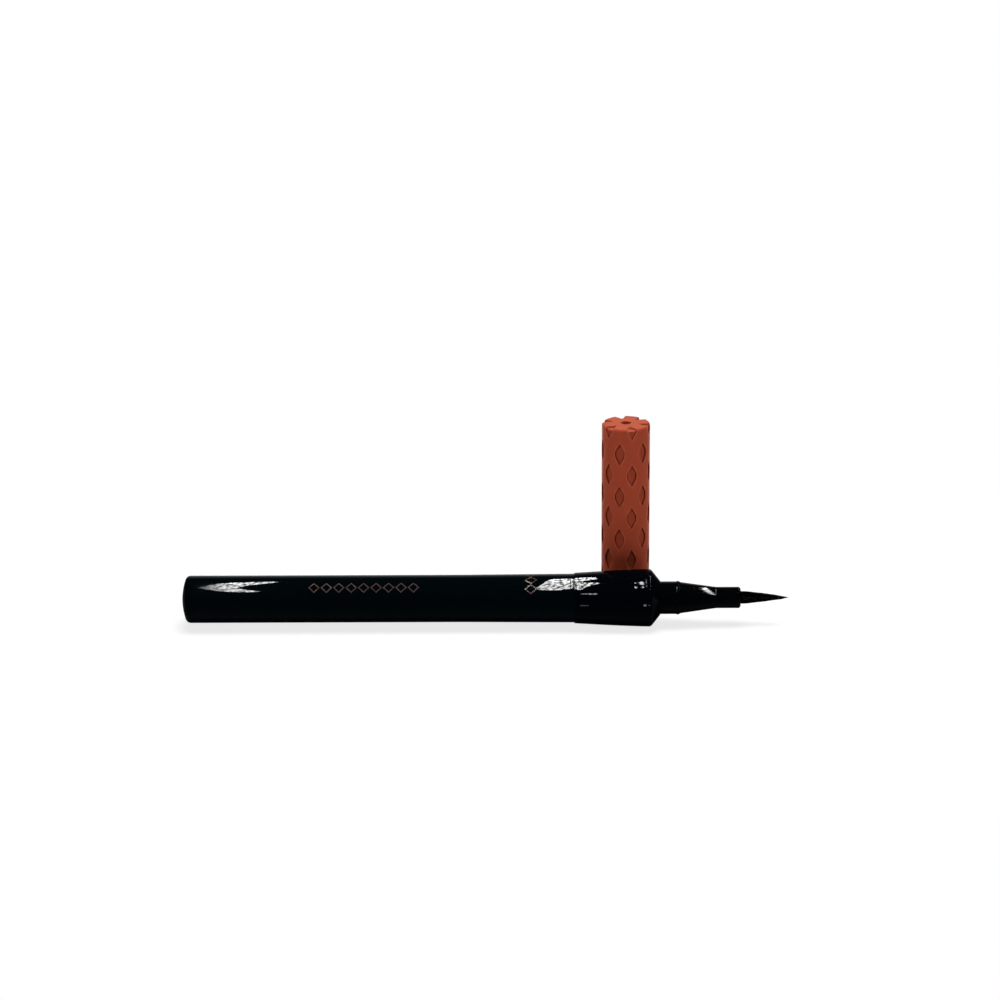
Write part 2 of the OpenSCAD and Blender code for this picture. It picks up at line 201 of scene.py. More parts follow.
def rounded(corners: list[Corner], steps: int = 6, guard: float = 0.02) -> Array:
    """Outline through corners, each of which gives way to an arc that touches both its sides.

    An arc of radius R at a corner whose sides stand 2h apart starts R / tan h from the corner and has
    its centre R / sin h from it on the bisector. Points follow the arc at even angles. A guard point
    just outside each end of the arc keeps the shading of the flat sides flat.

    Args:
        corners: (along, radius, rounding) of each corner in order.
        steps: Number of pieces of each arc.
        guard: Distance of the guard points from the arc.

    Returns:
        Outline points as rows of (along, radius).
    """
    table = np.array(corners, float)
    spot, bend = table[:, :2], table[:, 2:3]
    ahead = np.roll(spot, -1, axis=0) - spot
    ahead /= np.maximum(np.linalg.norm(ahead, axis=1, keepdims=True), NO_LENGTH)
    back = -np.roll(ahead, 1, axis=0)
    cosine = np.clip(np.sum(ahead * back, axis=1, keepdims=True), -1.0, 1.0)
    half = np.arccos(cosine) / 2.0
    reach = bend / np.tan(half)
    bisector = ahead + back
    bisector /= np.maximum(np.linalg.norm(bisector, axis=1, keepdims=True), NO_LENGTH)
    centre = spot + bisector * bend / np.sin(half)
    first, last = spot + back * reach - centre, spot + ahead * reach - centre
    span = np.maximum(math.pi - 2.0 * half, NO_TURN)[:, None, :]
    share = np.linspace(0.0, 1.0, steps + 1)[None, :, None]
    turn = np.sin((1.0 - share) * span) * first[:, None] + np.sin(share * span) * last[:, None]
    arcs = centre[:, None] + turn / np.sin(span)
    lead = (spot + back * (reach + guard * (bend > 0)))[:, None]
    trail = (spot + ahead * (reach + guard * (bend > 0)))[:, None]
    path = np.concatenate([lead, arcs, trail], axis=1).reshape(-1, 2)
    step = np.linalg.norm(path - np.roll(path, 1, axis=0), axis=1)
    return path[step > SAME_PLACE]


def arc(centre: tuple[float, float], radius: float, start: float, end: float, steps: int) -> Array:
    """Points of an arc: centre + radius * (sin a, cos a), with a running evenly from start to end.

    Args:
        centre: Place along the axis and distance from it.
        radius: Radius of the arc.
        start: First angle in degrees, from the outward direction.
        end: Last angle in degrees.
        steps: Number of pieces.

    Returns:
        Rows of (along, radius).
    """
    a = np.radians(np.linspace(start, end, steps + 1))
    return np.stack([centre[0] + radius * np.sin(a), centre[1] + radius * np.cos(a)], axis=-1)


def turned(axis: Axis, outline: Array, steps: int = 96) -> Shell:
    """Turns an outline round an axis: point (i, j) stands at outline point i, turned by j of the steps.

    Args:
        axis: The axis.
        outline: Rows of (along, radius). Ends on the axis become poles, and any other outline closes.
        steps: Number of places round the axis.

    Returns:
        The closed shell.
    """
    poles = outline[0, 1] < SAME_PLACE
    body = outline[1:-1] if poles else outline
    turn = np.arange(steps) * FULL_TURN / steps
    points = axis.points(body[:, None, 0], body[:, None, 1], turn[None, :]).reshape(-1, 3)
    quads = grid_faces(len(body), steps, not poles)
    if not poles:
        return Shell(points, quads).facing_out()
    return closed_at_poles(Shell(points, quads), axis, outline[[0, -1], 0], steps).facing_out()


def closed_at_poles(shell: Shell, axis: Axis, ends: Array, steps: int) -> Shell:
    """Closes the first and the last ring of a grid with a fan to a point on the axis.

    Args:
        shell: The open grid, with its rings in order.
        axis: The axis.
        ends: Places of the two poles along the axis.
        steps: Number of points in a ring.

    Returns:
        The closed shell. Its marks are 0 at the poles.
    """
    count = len(shell.points)
    ring = np.arange(steps)
    beside = (ring + 1) % steps
    last = count - steps
    first_fan = np.stack([np.full(steps, count), beside, ring], axis=-1)
    last_fan = np.stack([np.full(steps, count + 1), last + ring, last + beside], axis=-1)
    poles = axis.points(ends, np.zeros(2), np.zeros(2))
    return Shell(
        np.concatenate([shell.points, poles]),
        shell.quads,
        np.concatenate([first_fan, last_fan]),
        {name: np.append(values, [0.0, 0.0]) for name, values in shell.marks.items()},
    )


def bars(rings: Array) -> Shell:
    """Closed bars through rings of points, with flat ends.

    Args:
        rings: Points in metres as (bar, ring, side, coordinate), with four sides.

    Returns:
        One shell that holds all the bars.
    """
    count, length, sides = rings.shape[:3]
    one = grid_faces(length, sides, False)
    ends = np.array([[3, 2, 1, 0], [0, 1, 2, 3]]) + np.array([[0], [(length - 1) * sides]])
    faces = np.concatenate([one, ends])
    starts = np.arange(count)[:, None, None] * length * sides
    return Shell(rings.reshape(-1, 3), (faces[None] + starts).reshape(-1, 4)).facing_out()


# Node trees


class Wiring:
    """Places nodes in a tree and joins them.

    Args:
        tree: The node tree to fill.
    """

    def __init__(self, tree: bpy.types.NodeTree) -> None:
        """Keeps the tree."""
        self.tree = tree

    def add(self, kind: str, feeds: Union[dict[Union[str, int], Feed], None] = None,
            **settings: object) -> bpy.types.Node:
        """Adds a node.

        Args:
            kind: Type name of the node.
            feeds: What goes into its inputs, by name or number: a value, or a socket to link.
            settings: Properties of the node.

        Returns:
            The node.
        """
        node = self.tree.nodes.new(kind)
        for name, value in settings.items():
            setattr(node, name, value)
        for key, value in (feeds or {}).items():
            if isinstance(value, bpy.types.NodeSocket):
                self.tree.links.new(value, node.inputs[key])
            else:
                node.inputs[key].default_value = value
        return node

    def sum(self, operation: str, *terms: Feed) -> bpy.types.NodeSocket:
        """The result of a Math node on one to three terms."""
        return self.add("ShaderNodeMath", dict(enumerate(terms)), operation=operation).outputs[0]

    def noise(self, at: Feed, scale: Feed, detail: float = 2.0) -> bpy.types.NodeSocket:
        """Noise around 0.5 at a place."""
        feeds = {"Vector": at, "Scale": scale, "Detail": detail}
        return self.add("ShaderNodeTexNoise", feeds).outputs["Fac"]

    def fade(self, value: Feed, low: Feed, high: Feed, start: Feed = 0.0,
             end: Feed = 1.0) -> bpy.types.NodeSocket:
        """Moves smoothly from start to end while a value goes from low to high."""
        feeds = {"Value": value, "From Min": low, "From Max": high, "To Min": start, "To Max": end}
        return self.add("ShaderNodeMapRange", feeds, interpolation_type="SMOOTHSTEP").outputs["Result"]

    def mix(self, share: Feed, first: Feed, second: Feed) -> bpy.types.NodeSocket:
        """Mixes two colours."""
        node = self.add("ShaderNodeMix", {0: share, 6: first, 7: second}, data_type="RGBA")
        return node.outputs[2]

    def millimetres(self, stretch: tuple[float, float, float] = (1.0, 1.0, 1.0)) -> bpy.types.NodeSocket:
        """Object coordinates in millimetres, each multiplied by a stretch."""
        place = self.add("ShaderNodeTexCoord").outputs["Object"]
        scale = tuple(1.0 / MM * s for s in stretch)
        return self.add("ShaderNodeMapping", {"Vector": place, "Scale": scale}).outputs["Vector"]


class Effects:
    """Effects that several finishes share, each a node group that is built once."""

    @staticmethod
    def _group(name: str, inputs: dict[str, tuple[str, Feed]], output: tuple[str, str],
               fill: Callable[[Wiring, bpy.types.Node], bpy.types.NodeSocket]) -> bpy.types.NodeTree:
        """Builds a group, or finds it if it is there.

        Args:
            name: Name of the group.
            inputs: Socket type and first value by input name.
            output: Name and socket type of the output.
            fill: Adds the nodes and returns the socket that goes to the output.

        Returns:
            The group.
        """
        if name in bpy.data.node_groups:
            return bpy.data.node_groups[name]
        tree = bpy.data.node_groups.new(name, "ShaderNodeTree")
        for label, (kind, value) in inputs.items():
            socket = tree.interface.new_socket(name=label, in_out="INPUT", socket_type=kind)
            if kind != "NodeSocketVector":
                socket.default_value = value
        tree.interface.new_socket(name=output[0], in_out="OUTPUT", socket_type=output[1])
        wiring = Wiring(tree)
        source = tree.nodes.new("NodeGroupInput")
        target = tree.nodes.new("NodeGroupOutput")
        tree.links.new(fill(wiring, source), target.inputs[0])
        return tree

    @staticmethod
    def place(wiring: Wiring, group: bpy.types.NodeTree, feeds: dict[str, Feed]) -> bpy.types.NodeSocket:
        """Puts a group into a tree, sets its inputs and returns its output."""
        return wiring.add("ShaderNodeGroup", feeds, node_tree=group).outputs[0]

    @classmethod
    def grain(cls) -> bpy.types.NodeTree:
        """Height of a surface: fine grain plus long soft waves, each noise times its share."""

        def fill(w: Wiring, source: bpy.types.Node) -> bpy.types.NodeSocket:
            """Grain and waves together."""
            fine = w.noise(source.outputs["Place"], source.outputs["Grain"], 3.0)
            long = w.noise(source.outputs["Place"], source.outputs["Wave"], 1.0)
            return w.sum("MULTIPLY_ADD", long, source.outputs["Wave Share"],
                         w.sum("MULTIPLY", fine, source.outputs["Grain Share"]))

        inputs = {"Place": ("NodeSocketVector", 0.0), "Grain": ("NodeSocketFloat", 10.0),
                  "Grain Share": ("NodeSocketFloat", 0.5), "Wave": ("NodeSocketFloat", 0.3),
                  "Wave Share": ("NodeSocketFloat", 0.5)}
        return cls._group("surface_grain", inputs, ("Height", "NodeSocketFloat"), fill)

    @classmethod
    def drift(cls) -> bpy.types.NodeTree:
        """Colour that drifts lighter and darker over the surface: colour * (1 + amount * (noise - 0.5))."""

        def fill(w: Wiring, source: bpy.types.Node) -> bpy.types.NodeSocket:
            """The colour times its drift."""
            wide = w.noise(source.outputs["Place"], source.outputs["Scale"], 3.0)
            factor = w.sum("MULTIPLY_ADD", w.sum("SUBTRACT", wide, 0.5), source.outputs["Amount"], 1.0)
            feeds = {0: source.outputs["Colour"], "Scale": factor}
            return w.add("ShaderNodeVectorMath", feeds, operation="SCALE").outputs["Vector"]

        inputs = {"Place": ("NodeSocketVector", 0.0), "Colour": ("NodeSocketColor", (0.5, 0.5, 0.5, 1.0)),
                  "Scale": ("NodeSocketFloat", 0.4), "Amount": ("NodeSocketFloat", 0.1)}
        return cls._group("colour_drift", inputs, ("Colour", "NodeSocketColor"), fill)

    @classmethod
    def handling(cls) -> bpy.types.NodeTree:
        """Roughness of a handled surface: smudges where wide noise peaks, and fine rubs along the piece."""

        def fill(w: Wiring, source: bpy.types.Node) -> bpy.types.NodeSocket:
            """The roughness with smudges and rubs."""
            smudge = w.fade(w.noise(source.outputs["Place"], source.outputs["Scale"], 4.0), 0.5, 0.72)
            stretched = w.add("ShaderNodeVectorMath", {0: source.outputs["Place"], 1: (0.25, 9.0, 9.0)},
                              operation="MULTIPLY").outputs["Vector"]
            rubs = w.fade(w.noise(stretched, 0.9, 2.0), 0.66, 0.74)
            both = w.sum("MULTIPLY_ADD", rubs, 0.5, smudge)
            return w.sum("MULTIPLY_ADD", both, source.outputs["Amount"], source.outputs["Roughness"])

        inputs = {"Place": ("NodeSocketVector", 0.0), "Roughness": ("NodeSocketFloat", 0.1),
                  "Amount": ("NodeSocketFloat", 0.05), "Scale": ("NodeSocketFloat", 0.3)}
        return cls._group("handling_marks", inputs, ("Roughness", "NodeSocketFloat"), fill)

    @classmethod
    def lozenge_row(cls) -> bpy.types.NodeTree:
        """Mask of a row of open lozenges: a line where |u| / half length + |v| / half width is 1."""

        def fill(w: Wiring, source: bpy.types.Node) -> bpy.types.NodeSocket:
            """The line of the nearest lozenge."""
            s = source.outputs
            steps = w.sum("DIVIDE", w.sum("SUBTRACT", s["Run"], s["Start"]), s["Pitch"])
            last = w.sum("SUBTRACT", s["Count"], 1.0)
            cell = w.sum("MINIMUM", w.sum("MAXIMUM", w.sum("FLOOR", steps), 0.0), last)
            off = w.sum("MULTIPLY", w.sum("SUBTRACT", w.sum("SUBTRACT", steps, cell), 0.5), s["Pitch"])
            aside = w.sum("SUBTRACT", s["Side"], s["Centre"])
            u = w.sum("DIVIDE", w.sum("ABSOLUTE", off), s["Half Length"])
            v = w.sum("DIVIDE", w.sum("ABSOLUTE", aside), s["Half Width"])
            away = w.sum("ABSOLUTE", w.sum("SUBTRACT", w.sum("ADD", u, v), 1.0))
            return w.fade(away, s["Line"], w.sum("ADD", s["Line"], 0.08), 1.0, 0.0)

        names = ("Run", "Side", "Start", "Centre", "Pitch", "Count", "Half Length", "Half Width", "Line")
        inputs = {name: ("NodeSocketFloat", 1.0) for name in names}
        return cls._group("lozenge_row", inputs, ("Mask", "NodeSocketFloat"), fill)


# Finishes


@dataclass(frozen=True)
class Finish:
    """A surface finish: its own values on the shader, and colour, roughness and relief from shared effects.

    Args:
        name: Name of the material.
        colour: Colour in linear light.
        roughness: Roughness of the clean surface.
        specular: Specular level, where 0.5 is that of plain plastic.
        metallic: 1 for metal.
        drift: Share by which the colour drifts.
        drift_scale: Patches of colour in a millimetre.
        marks: Roughness that smudges add.
        grain: Grains in a millimetre.
        grain_share: Share of the fine grain in the relief.
        wave: Waves in a millimetre.
        wave_share: Share of the long waves in the relief.
        relief: Height of the relief in millimetres.
        stretch: Stretch of the pattern along each axis.
    """

    name: str
    colour: Colour
    roughness: float = 0.4
    specular: float = 0.5
    metallic: float = 0.0
    drift: float = 0.06
    drift_scale: float = 0.5
    marks: float = 0.05
    grain: float = 8.0
    grain_share: float = 0.5
    wave: float = 0.3
    wave_share: float = 0.5
    relief: float = 0.004
    stretch: tuple[float, float, float] = (1.0, 1.0, 1.0)

    def material(self) -> bpy.types.Material:
        """Builds the material, or finds it if it is there."""
        if self.name in bpy.data.materials:
            return bpy.data.materials[self.name]
        material = bpy.data.materials.new(self.name)
        material.use_nodes = True
        material.diffuse_color = (*self.colour, 1.0)
        tree = material.node_tree
        tree.nodes.clear()
        w = Wiring(tree)
        place = w.millimetres(self.stretch)
        shader = w.add("ShaderNodeBsdfPrincipled", {
            "Base Color": self.tint(w, place),
            "Roughness": self.gloss(w, place),
            "Metallic": self.metallic,
            "Specular IOR Level": self.specular,
            "Normal": self.relief_normal(w, place),
        })
        self.extras(shader)
        w.add("ShaderNodeOutputMaterial", {"Surface": shader.outputs["BSDF"]})
        return material

    def tint(self, w: Wiring, place: bpy.types.NodeSocket) -> bpy.types.NodeSocket:
        """The colour over the surface."""
        return Effects.place(w, Effects.drift(), {
            "Place": place, "Colour": (*self.colour, 1.0), "Scale": self.drift_scale, "Amount": self.drift})

    def gloss(self, w: Wiring, place: bpy.types.NodeSocket) -> bpy.types.NodeSocket:
        """The roughness over the surface."""
        return Effects.place(w, Effects.handling(), {
            "Place": place, "Roughness": self.roughness, "Amount": self.marks})

    def relief_normal(self, w: Wiring, place: bpy.types.NodeSocket) -> bpy.types.NodeSocket:
        """The normal that the relief gives."""
        height = Effects.place(w, Effects.grain(), {
            "Place": place, "Grain": self.grain, "Grain Share": self.grain_share,
            "Wave": self.wave, "Wave Share": self.wave_share})
        feeds = {"Height": height, "Distance": self.relief * MM, "Strength": 1.0}
        return w.add("ShaderNodeBump", feeds).outputs["Normal"]

    def extras(self, shader: bpy.types.Node) -> None:
        """Sets what only some finishes have. Plain ones have nothing more."""


@dataclass(frozen=True)
class SoftTouch(Finish):
    """Matt rubbery lacquer on a moulded relief, with painted shade in recesses and painted highlight on rims.

    Args:
        wall_colour: Colour of the painted shade on the recess walls, towards their upper tips and in the
            dimple.
        rim_highlight_colour: Colour of the painted highlight on the rounded rims and of the painted sheen on
            the closed end.
        floor_shade_share: Share of the colour that is left on the recess floors, where shade is painted.
        edge_shade_share: Share of the colour that is left where the surface turns away, a painted shade at
            the outline.
        quiet_share: Share of the colour that reflections in the gloss black lose.
        sheen: Weight of the soft sheen.
    """

    wall_colour: Colour = (0.2, 0.02, 0.01)
    rim_highlight_colour: Colour = (0.7, 0.2, 0.12)
    floor_shade_share: float = 0.93
    edge_shade_share: float = 0.4
    quiet_share: float = 0.85
    sheen: float = 0.1

    def tint(self, w: Wiring, place: bpy.types.NodeSocket) -> bpy.types.NodeSocket:
        """Drifting colour, painted shade in recesses and at the outline, painted highlight on rims."""
        base = super().tint(w, place)
        wall, rim, floor = (w.add("ShaderNodeAttribute", {}, attribute_name=name).outputs["Fac"]
                            for name in ("wall", "rim", "floor"))
        # Painted highlight on the rims and painted sheen on the closed end.
        rim_lit = w.mix(w.sum("MULTIPLY", rim, 0.55), base, (*self.rim_highlight_colour, 1.0))
        # Painted shade on recess walls, at recess tips and in the dimple.
        shaded = w.mix(wall, rim_lit, (*self.wall_colour, 1.0))
        facing = w.add("ShaderNodeLayerWeight", {"Blend": 0.5}).outputs["Facing"]
        mirrored = w.add("ShaderNodeLightPath").outputs["Is Glossy Ray"]
        seen = w.sum("MULTIPLY_ADD", mirrored, -self.quiet_share, 1.0)
        # Painted shade at the outline, where the surface turns away from view.
        edge_shade = w.fade(facing, 0.72, 0.97, 1.0, self.edge_shade_share)
        # Painted shade on the recess floors, times the outline shade and the dimming in gloss.
        left = w.sum("MULTIPLY", w.fade(floor, 0.3, 1.0, 1.0, self.floor_shade_share),
                     w.sum("MULTIPLY", edge_shade, seen))
        return w.add("ShaderNodeVectorMath", {0: shaded, "Scale": left}, operation="SCALE").outputs["Vector"]

    def extras(self, shader: bpy.types.Node) -> None:
        """Sets the sheen."""
        shader.inputs["Sheen Weight"].default_value = self.sheen
        shader.inputs["Sheen Roughness"].default_value = 0.3
        shader.inputs["Sheen Tint"].default_value = (1.0, 0.64, 0.54, 1.0)


@dataclass(frozen=True)
class Natural(Finish):
    """Uncoloured moulding that lets a little light in.

    Args:
        depth: How far light travels in it, in millimetres.
    """

    depth: float = 0.6

    def extras(self, shader: bpy.types.Node) -> None:
        """Sets the light that the moulding lets in."""
        shader.inputs["Subsurface Weight"].default_value = 0.35
        shader.inputs["Subsurface Radius"].default_value = (1.0, 0.9, 0.8)
        shader.inputs["Subsurface Scale"].default_value = self.depth * MM


@dataclass(frozen=True)
class LozengeRow:
    """A row of small open lozenges, in millimetres along the barrel and round it from its front.

    Args:
        along: Whether the row runs along the barrel, or else round it.
        start: Where the row starts on its run.
        centre: Where its middle line lies across the run.
        count: Number of lozenges.
        pitch: Distance from one lozenge to the next.
        half_length: Half the size of a lozenge on the run.
        half_width: Half its size across the run.
        line: Half the width of the printed line, as a share of the half size.
    """

    along: bool
    start: float
    centre: float
    count: int
    pitch: float
    half_length: float
    half_width: float
    line: float = 0.11


@dataclass(frozen=True)
class Printed(Finish):
    """Gloss with rows of small open lozenges printed in worn rose foil.

    Args:
        rows: The rows.
        foil: Colour of the foil.
        axis: Where the barrel's axis lies, as (y, z) in millimetres.
        radius: Radius of the printed surface.
    """

    rows: tuple[LozengeRow, ...] = ()
    foil: Colour = (0.085, 0.049, 0.044)
    axis: tuple[float, float] = (0.0, 0.0)
    radius: float = 5.0

    def mask(self, w: Wiring, place: bpy.types.NodeSocket) -> bpy.types.NodeSocket:
        """Where the foil is: the rows on (x, radius * angle), with worn spots."""
        parts = w.add("ShaderNodeSeparateXYZ", {0: place}).outputs
        angle = w.sum("ARCTAN2", w.sum("SUBTRACT", parts["Z"], self.axis[1]),
                      w.sum("SUBTRACT", self.axis[0], parts["Y"]))
        around = w.sum("MULTIPLY", angle, self.radius)
        total: Feed = 0.0
        for row in self.rows:
            run, side = (parts["X"], around) if row.along else (around, parts["X"])
            total = w.sum("MAXIMUM", total, Effects.place(w, Effects.lozenge_row(), {
                "Run": run, "Side": side, "Start": row.start, "Centre": row.centre, "Pitch": row.pitch,
                "Count": float(row.count), "Half Length": row.half_length, "Half Width": row.half_width,
                "Line": row.line}))
        worn = w.fade(w.noise(place, 3.0, 3.0), 0.32, 0.46, 0.55, 1.0)
        return w.sum("MULTIPLY", total, worn)

    def tint(self, w: Wiring, place: bpy.types.NodeSocket) -> bpy.types.NodeSocket:
        """The drifting colour with the foil over it."""
        return w.mix(self.mask(w, place), super().tint(w, place), (*self.foil, 1.0))

    def gloss(self, w: Wiring, place: bpy.types.NodeSocket) -> bpy.types.NodeSocket:
        """The roughness, higher on the foil."""
        return w.sum("MULTIPLY_ADD", self.mask(w, place), 0.3, super().gloss(w, place))


BARREL_GLOSS = Printed("barrel_gloss", (0.0006, 0.0028, 0.0038), roughness=0.035, specular=0.1, drift=0.15,
                       marks=0.02, grain=1.6, grain_share=0.12, wave=0.22, wave_share=0.88, relief=0.006,
                       axis=(-5.315, 6.0), rows=(
                           LozengeRow(along=True, start=-36.9, centre=4.15, count=9, pitch=2.58,
                                      half_length=1.05, half_width=1.05),
                           LozengeRow(along=False, start=2.5, centre=9.4, count=3, pitch=2.3,
                                      half_length=1.0, half_width=1.2)))
COLLAR_GLOSS = Finish("collar_gloss", (0.0006, 0.0013, 0.0027), roughness=0.03, specular=0.1, drift=0.15,
                      marks=0.015, grain=1.8, grain_share=0.15, wave=0.3, wave_share=0.85, relief=0.005)
NOSE_GLOSS = Finish("nose_gloss", (0.0009, 0.0015, 0.0021), roughness=0.04, specular=0.1, drift=0.15,
                    marks=0.015, grain=2.0, grain_share=0.06, wave=0.45, wave_share=0.5, relief=0.002)
GUIDE_BLACK = Finish("guide_black", (0.004, 0.004, 0.005), roughness=0.35, specular=0.25)
FILAMENT_BLACK = Finish("filament_black", (0.0016, 0.0016, 0.0017), roughness=0.4, specular=0.06, drift=0.6,
                        drift_scale=2.5, grain=14.0, grain_share=0.9, wave_share=0.1, relief=0.006,
                        stretch=(0.12, 1.0, 1.0))
FERRULE_SATIN = Finish("ferrule_satin", (0.60, 0.60, 0.62), roughness=0.3, metallic=1.0, grain=20.0,
                       grain_share=0.9, wave_share=0.1, relief=0.002, stretch=(1.0, 0.1, 0.1))
# The last two colours paint shade in the recesses and highlight on the rims.
CORAL = SoftTouch("coral_soft_touch", (0.56, 0.094, 0.044), roughness=0.64, specular=0.0, drift=0.10,
                  drift_scale=0.35, marks=0.06, grain=14.0, grain_share=0.8, wave=0.6, wave_share=0.2,
                  relief=0.007, wall_colour=(0.17, 0.013, 0.004), rim_highlight_colour=(0.72, 0.18, 0.10), sheen=1.0)
LINER_BLACK = Finish("liner_black", (0.012, 0.012, 0.014), roughness=0.22, specular=0.4)
INNER_NATURAL = Natural("inner_cap_natural", (0.80, 0.80, 0.77), roughness=0.38, drift=0.04, depth=0.8)
TANK_NATURAL = Natural("tank_natural", (0.58, 0.62, 0.64), roughness=0.25, drift=0.05, depth=1.0)
PLUG_NATURAL = Natural("plug_natural", (0.76, 0.76, 0.71), roughness=0.42, drift=0.05)
COMB_IVORY = Natural("comb_ivory", (0.72, 0.68, 0.58), roughness=0.4, drift=0.06)
CORE_FIBRE = Finish("core_fibre", (0.03, 0.03, 0.035), roughness=0.85, specular=0.2, drift=1.2,
                    drift_scale=6.0, marks=0.0, grain=12.0, grain_share=0.9, wave_share=0.1, relief=0.03,
                    stretch=(0.15, 1.0, 1.0))
SEAL_RUBBER = Finish("seal_rubber", (0.018, 0.018, 0.018), roughness=0.62, specular=0.35, relief=0.005)
BALL_STEEL = Finish("ball_steel", (0.62, 0.62, 0.64), roughness=0.12, metallic=1.0, marks=0.08,
                    relief=0.001)
SPRING_STEEL = Finish("spring_steel", (0.58, 0.58, 0.60), roughness=0.22, metallic=1.0, marks=0.1,
                      grain=18.0, grain_share=0.8, wave_share=0.2, relief=0.002)


# Pieces


class Maker:
    """Puts shells into the scene as pieces that ride on the frame."""

    @staticmethod
    def piece(name: str, shell: Shell, body: str, nodes: tuple[str, ...], finish: Finish,
              crease: float = 40.0) -> bpy.types.Object:
        """Makes a piece.

        Args:
            name: Name of the piece.
            shell: Its surface.
            body: The body that it moves with.
            nodes: The solids that it stands for, which it hides.
            finish: Its finish.
            crease: Edges sharper than this, in degrees, stay crisp.

        Returns:
            The object, which sits at the origin.
        """
        mesh = bpy.data.meshes.new(name)
        sizes = np.concatenate([np.full(len(shell.quads), 4), np.full(len(shell.triangles), 3)])
        corners = np.concatenate([shell.quads.ravel(), shell.triangles.ravel()])
        mesh.vertices.add(len(shell.points))
        mesh.vertices.foreach_set("co", shell.points.astype(np.float32).ravel())
        mesh.loops.add(len(corners))
        mesh.loops.foreach_set("vertex_index", corners.astype(np.int32))
        mesh.polygons.add(len(sizes))
        mesh.polygons.foreach_set("loop_start", (np.cumsum(sizes) - sizes).astype(np.int32))
        mesh.update(calc_edges=True)
        mesh.validate()
        mesh.polygons.foreach_set("use_smooth", np.ones(len(mesh.polygons), bool))
        mesh.set_sharp_from_angle(angle=math.radians(crease))
        for mark, values in shell.marks.items():
            mesh.attributes.new(mark, "FLOAT", "POINT").data.foreach_set("value", values.astype(np.float32))
        mesh.materials.append(finish.material())
        piece = bpy.data.objects.new(name, mesh)
        bpy.context.scene.collection.objects.link(piece)
        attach(piece, body)
        if nodes:
            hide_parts(*nodes)
        log.info("%s: %d faces, finish %s, rides on %s", name, len(mesh.polygons), finish.name, body)
        return piece

    @staticmethod
    def dress(frame: dict, node: str, finish: Finish) -> None:
        """Gives a solid of the frame its finish.

        Args:
            frame: What the frame's load returned.
            node: Name of the solid.
            finish: Its finish.
        """
        solid = frame["nodes"][node]
        solid.data.materials.clear()
        solid.data.materials.append(finish.material())
        log.info("%s: kept solid, finish %s", node, finish.name)


@dataclass
class Barrel:
    """The glossy closed barrel, with a soft dome at its tail and a spigot inside the collar."""

    axis: Axis
    length: float = 81.6
    radius: float = 4.93
    front_radius: float = 5.08
    straight: float = 57.936
    bore: float = 4.23
    spigot_radius: float = 4.655
    spigot: float = 7.0
    tail_wall: float = 2.2
    dome_radius: float = 13.0
    edge_radius: float = 1.2
    seam: float = -17.9
    seam_bevel: float = 0.03

    def outline(self) -> Array:
        """Half section: dome, round edge, straight side, slight flare, spigot, bore and closed floor."""
        tail = self.seam - self.length
        across = self.dome_radius - self.edge_radius
        edge = self.radius - self.edge_radius
        edge_at = tail + self.dome_radius - math.sqrt(across * across - edge * edge)
        lean = math.degrees(math.asin(edge / across))
        dome = arc((tail + self.dome_radius, 0.0), self.dome_radius, -90.0, -90.0 - lean, steps=18)
        dome[:, 1] = np.abs(dome[:, 1])
        dome[0, 1] = 0.0
        rim = arc((edge_at, edge), self.edge_radius, -90.0 + lean, 0.0, steps=14)
        straight_end, front = tail + self.straight, self.seam - self.seam_bevel
        places = np.linspace(edge_at + 0.03, straight_end, 24)
        side = np.stack([places, np.full(len(places), self.radius)], axis=-1)
        share = np.append(np.linspace(0.0, 0.98, 15)[1:], [0.998, 1.0])
        flare = np.stack([straight_end + share * (front - straight_end),
                          self.radius + (self.front_radius - self.radius) * share], axis=-1)
        inner = rounded([
            (front, self.front_radius, 0.0),
            (self.seam, self.front_radius - self.seam_bevel, 0.0),
            (self.seam, self.spigot_radius, 0.0),
            (self.seam + self.spigot, self.spigot_radius, 0.1),
            (self.seam + self.spigot, self.bore, 0.1),
            (tail + self.tail_wall, self.bore, 0.3),
            (tail + self.tail_wall, 0.0, 0.0)])
        return np.concatenate([dome, rim[1:], side, flare, inner[1:]])

    def build(self) -> None:
        """Makes the barrel."""
        shell = turned(self.axis, self.outline(), 160)
        Maker.piece("barrel", shell, "pen", ("barrel_shell",), BARREL_GLOSS)


@dataclass
class Collar:
    """The flared front grip between the barrel and the nose."""

    axis: Axis
    length: float = 17.9
    back_radius: float = 5.26
    radius: float = 6.0
    shoulder: float = 2.4
    shoulder_edge: float = 0.9
    shoulder_turn: float = 51.48
    neck_hole: float = 3.53
    lip: float = -3.1
    flange_end: float = -9.1
    inside: float = 4.23
    socket: float = 4.685

    def outline(self) -> Array:
        """Half section: back edge, swell r = back + rise * (u + sin 90u) / 2, round shoulder and socket."""
        share = np.linspace(0.0, 1.0, 40)
        swell = np.stack([
            -self.length + share * (self.length - self.shoulder),
            self.back_radius + (self.radius - self.back_radius) * (share + np.sin(share * math.pi / 2)) / 2,
        ], axis=-1)
        swell[0] = (-self.length + 0.05, self.back_radius + 0.002)
        edge = arc((-self.shoulder, self.radius - self.shoulder_edge), self.shoulder_edge,
                   0.0, self.shoulder_turn, steps=14)
        cone_start = edge[-1] + (0.001, -0.001)
        rest = rounded([
            (cone_start[0], cone_start[1], 0.0),
            (0.0, self.neck_hole, 0.05),
            (self.lip, self.neck_hole, 0.0),
            (self.lip, self.inside, 0.0),
            (self.flange_end, self.inside, 0.0),
            (self.flange_end, self.socket, 0.0),
            (-self.length, self.socket, 0.05),
            (-self.length, self.back_radius - 0.05, 0.0)])
        return np.concatenate([swell, edge[1:], rest])

    def build(self) -> None:
        """Makes the collar."""
        Maker.piece("collar_grip", turned(self.axis, self.outline(), 160), "pen", ("collar",), COLLAR_GLOSS)


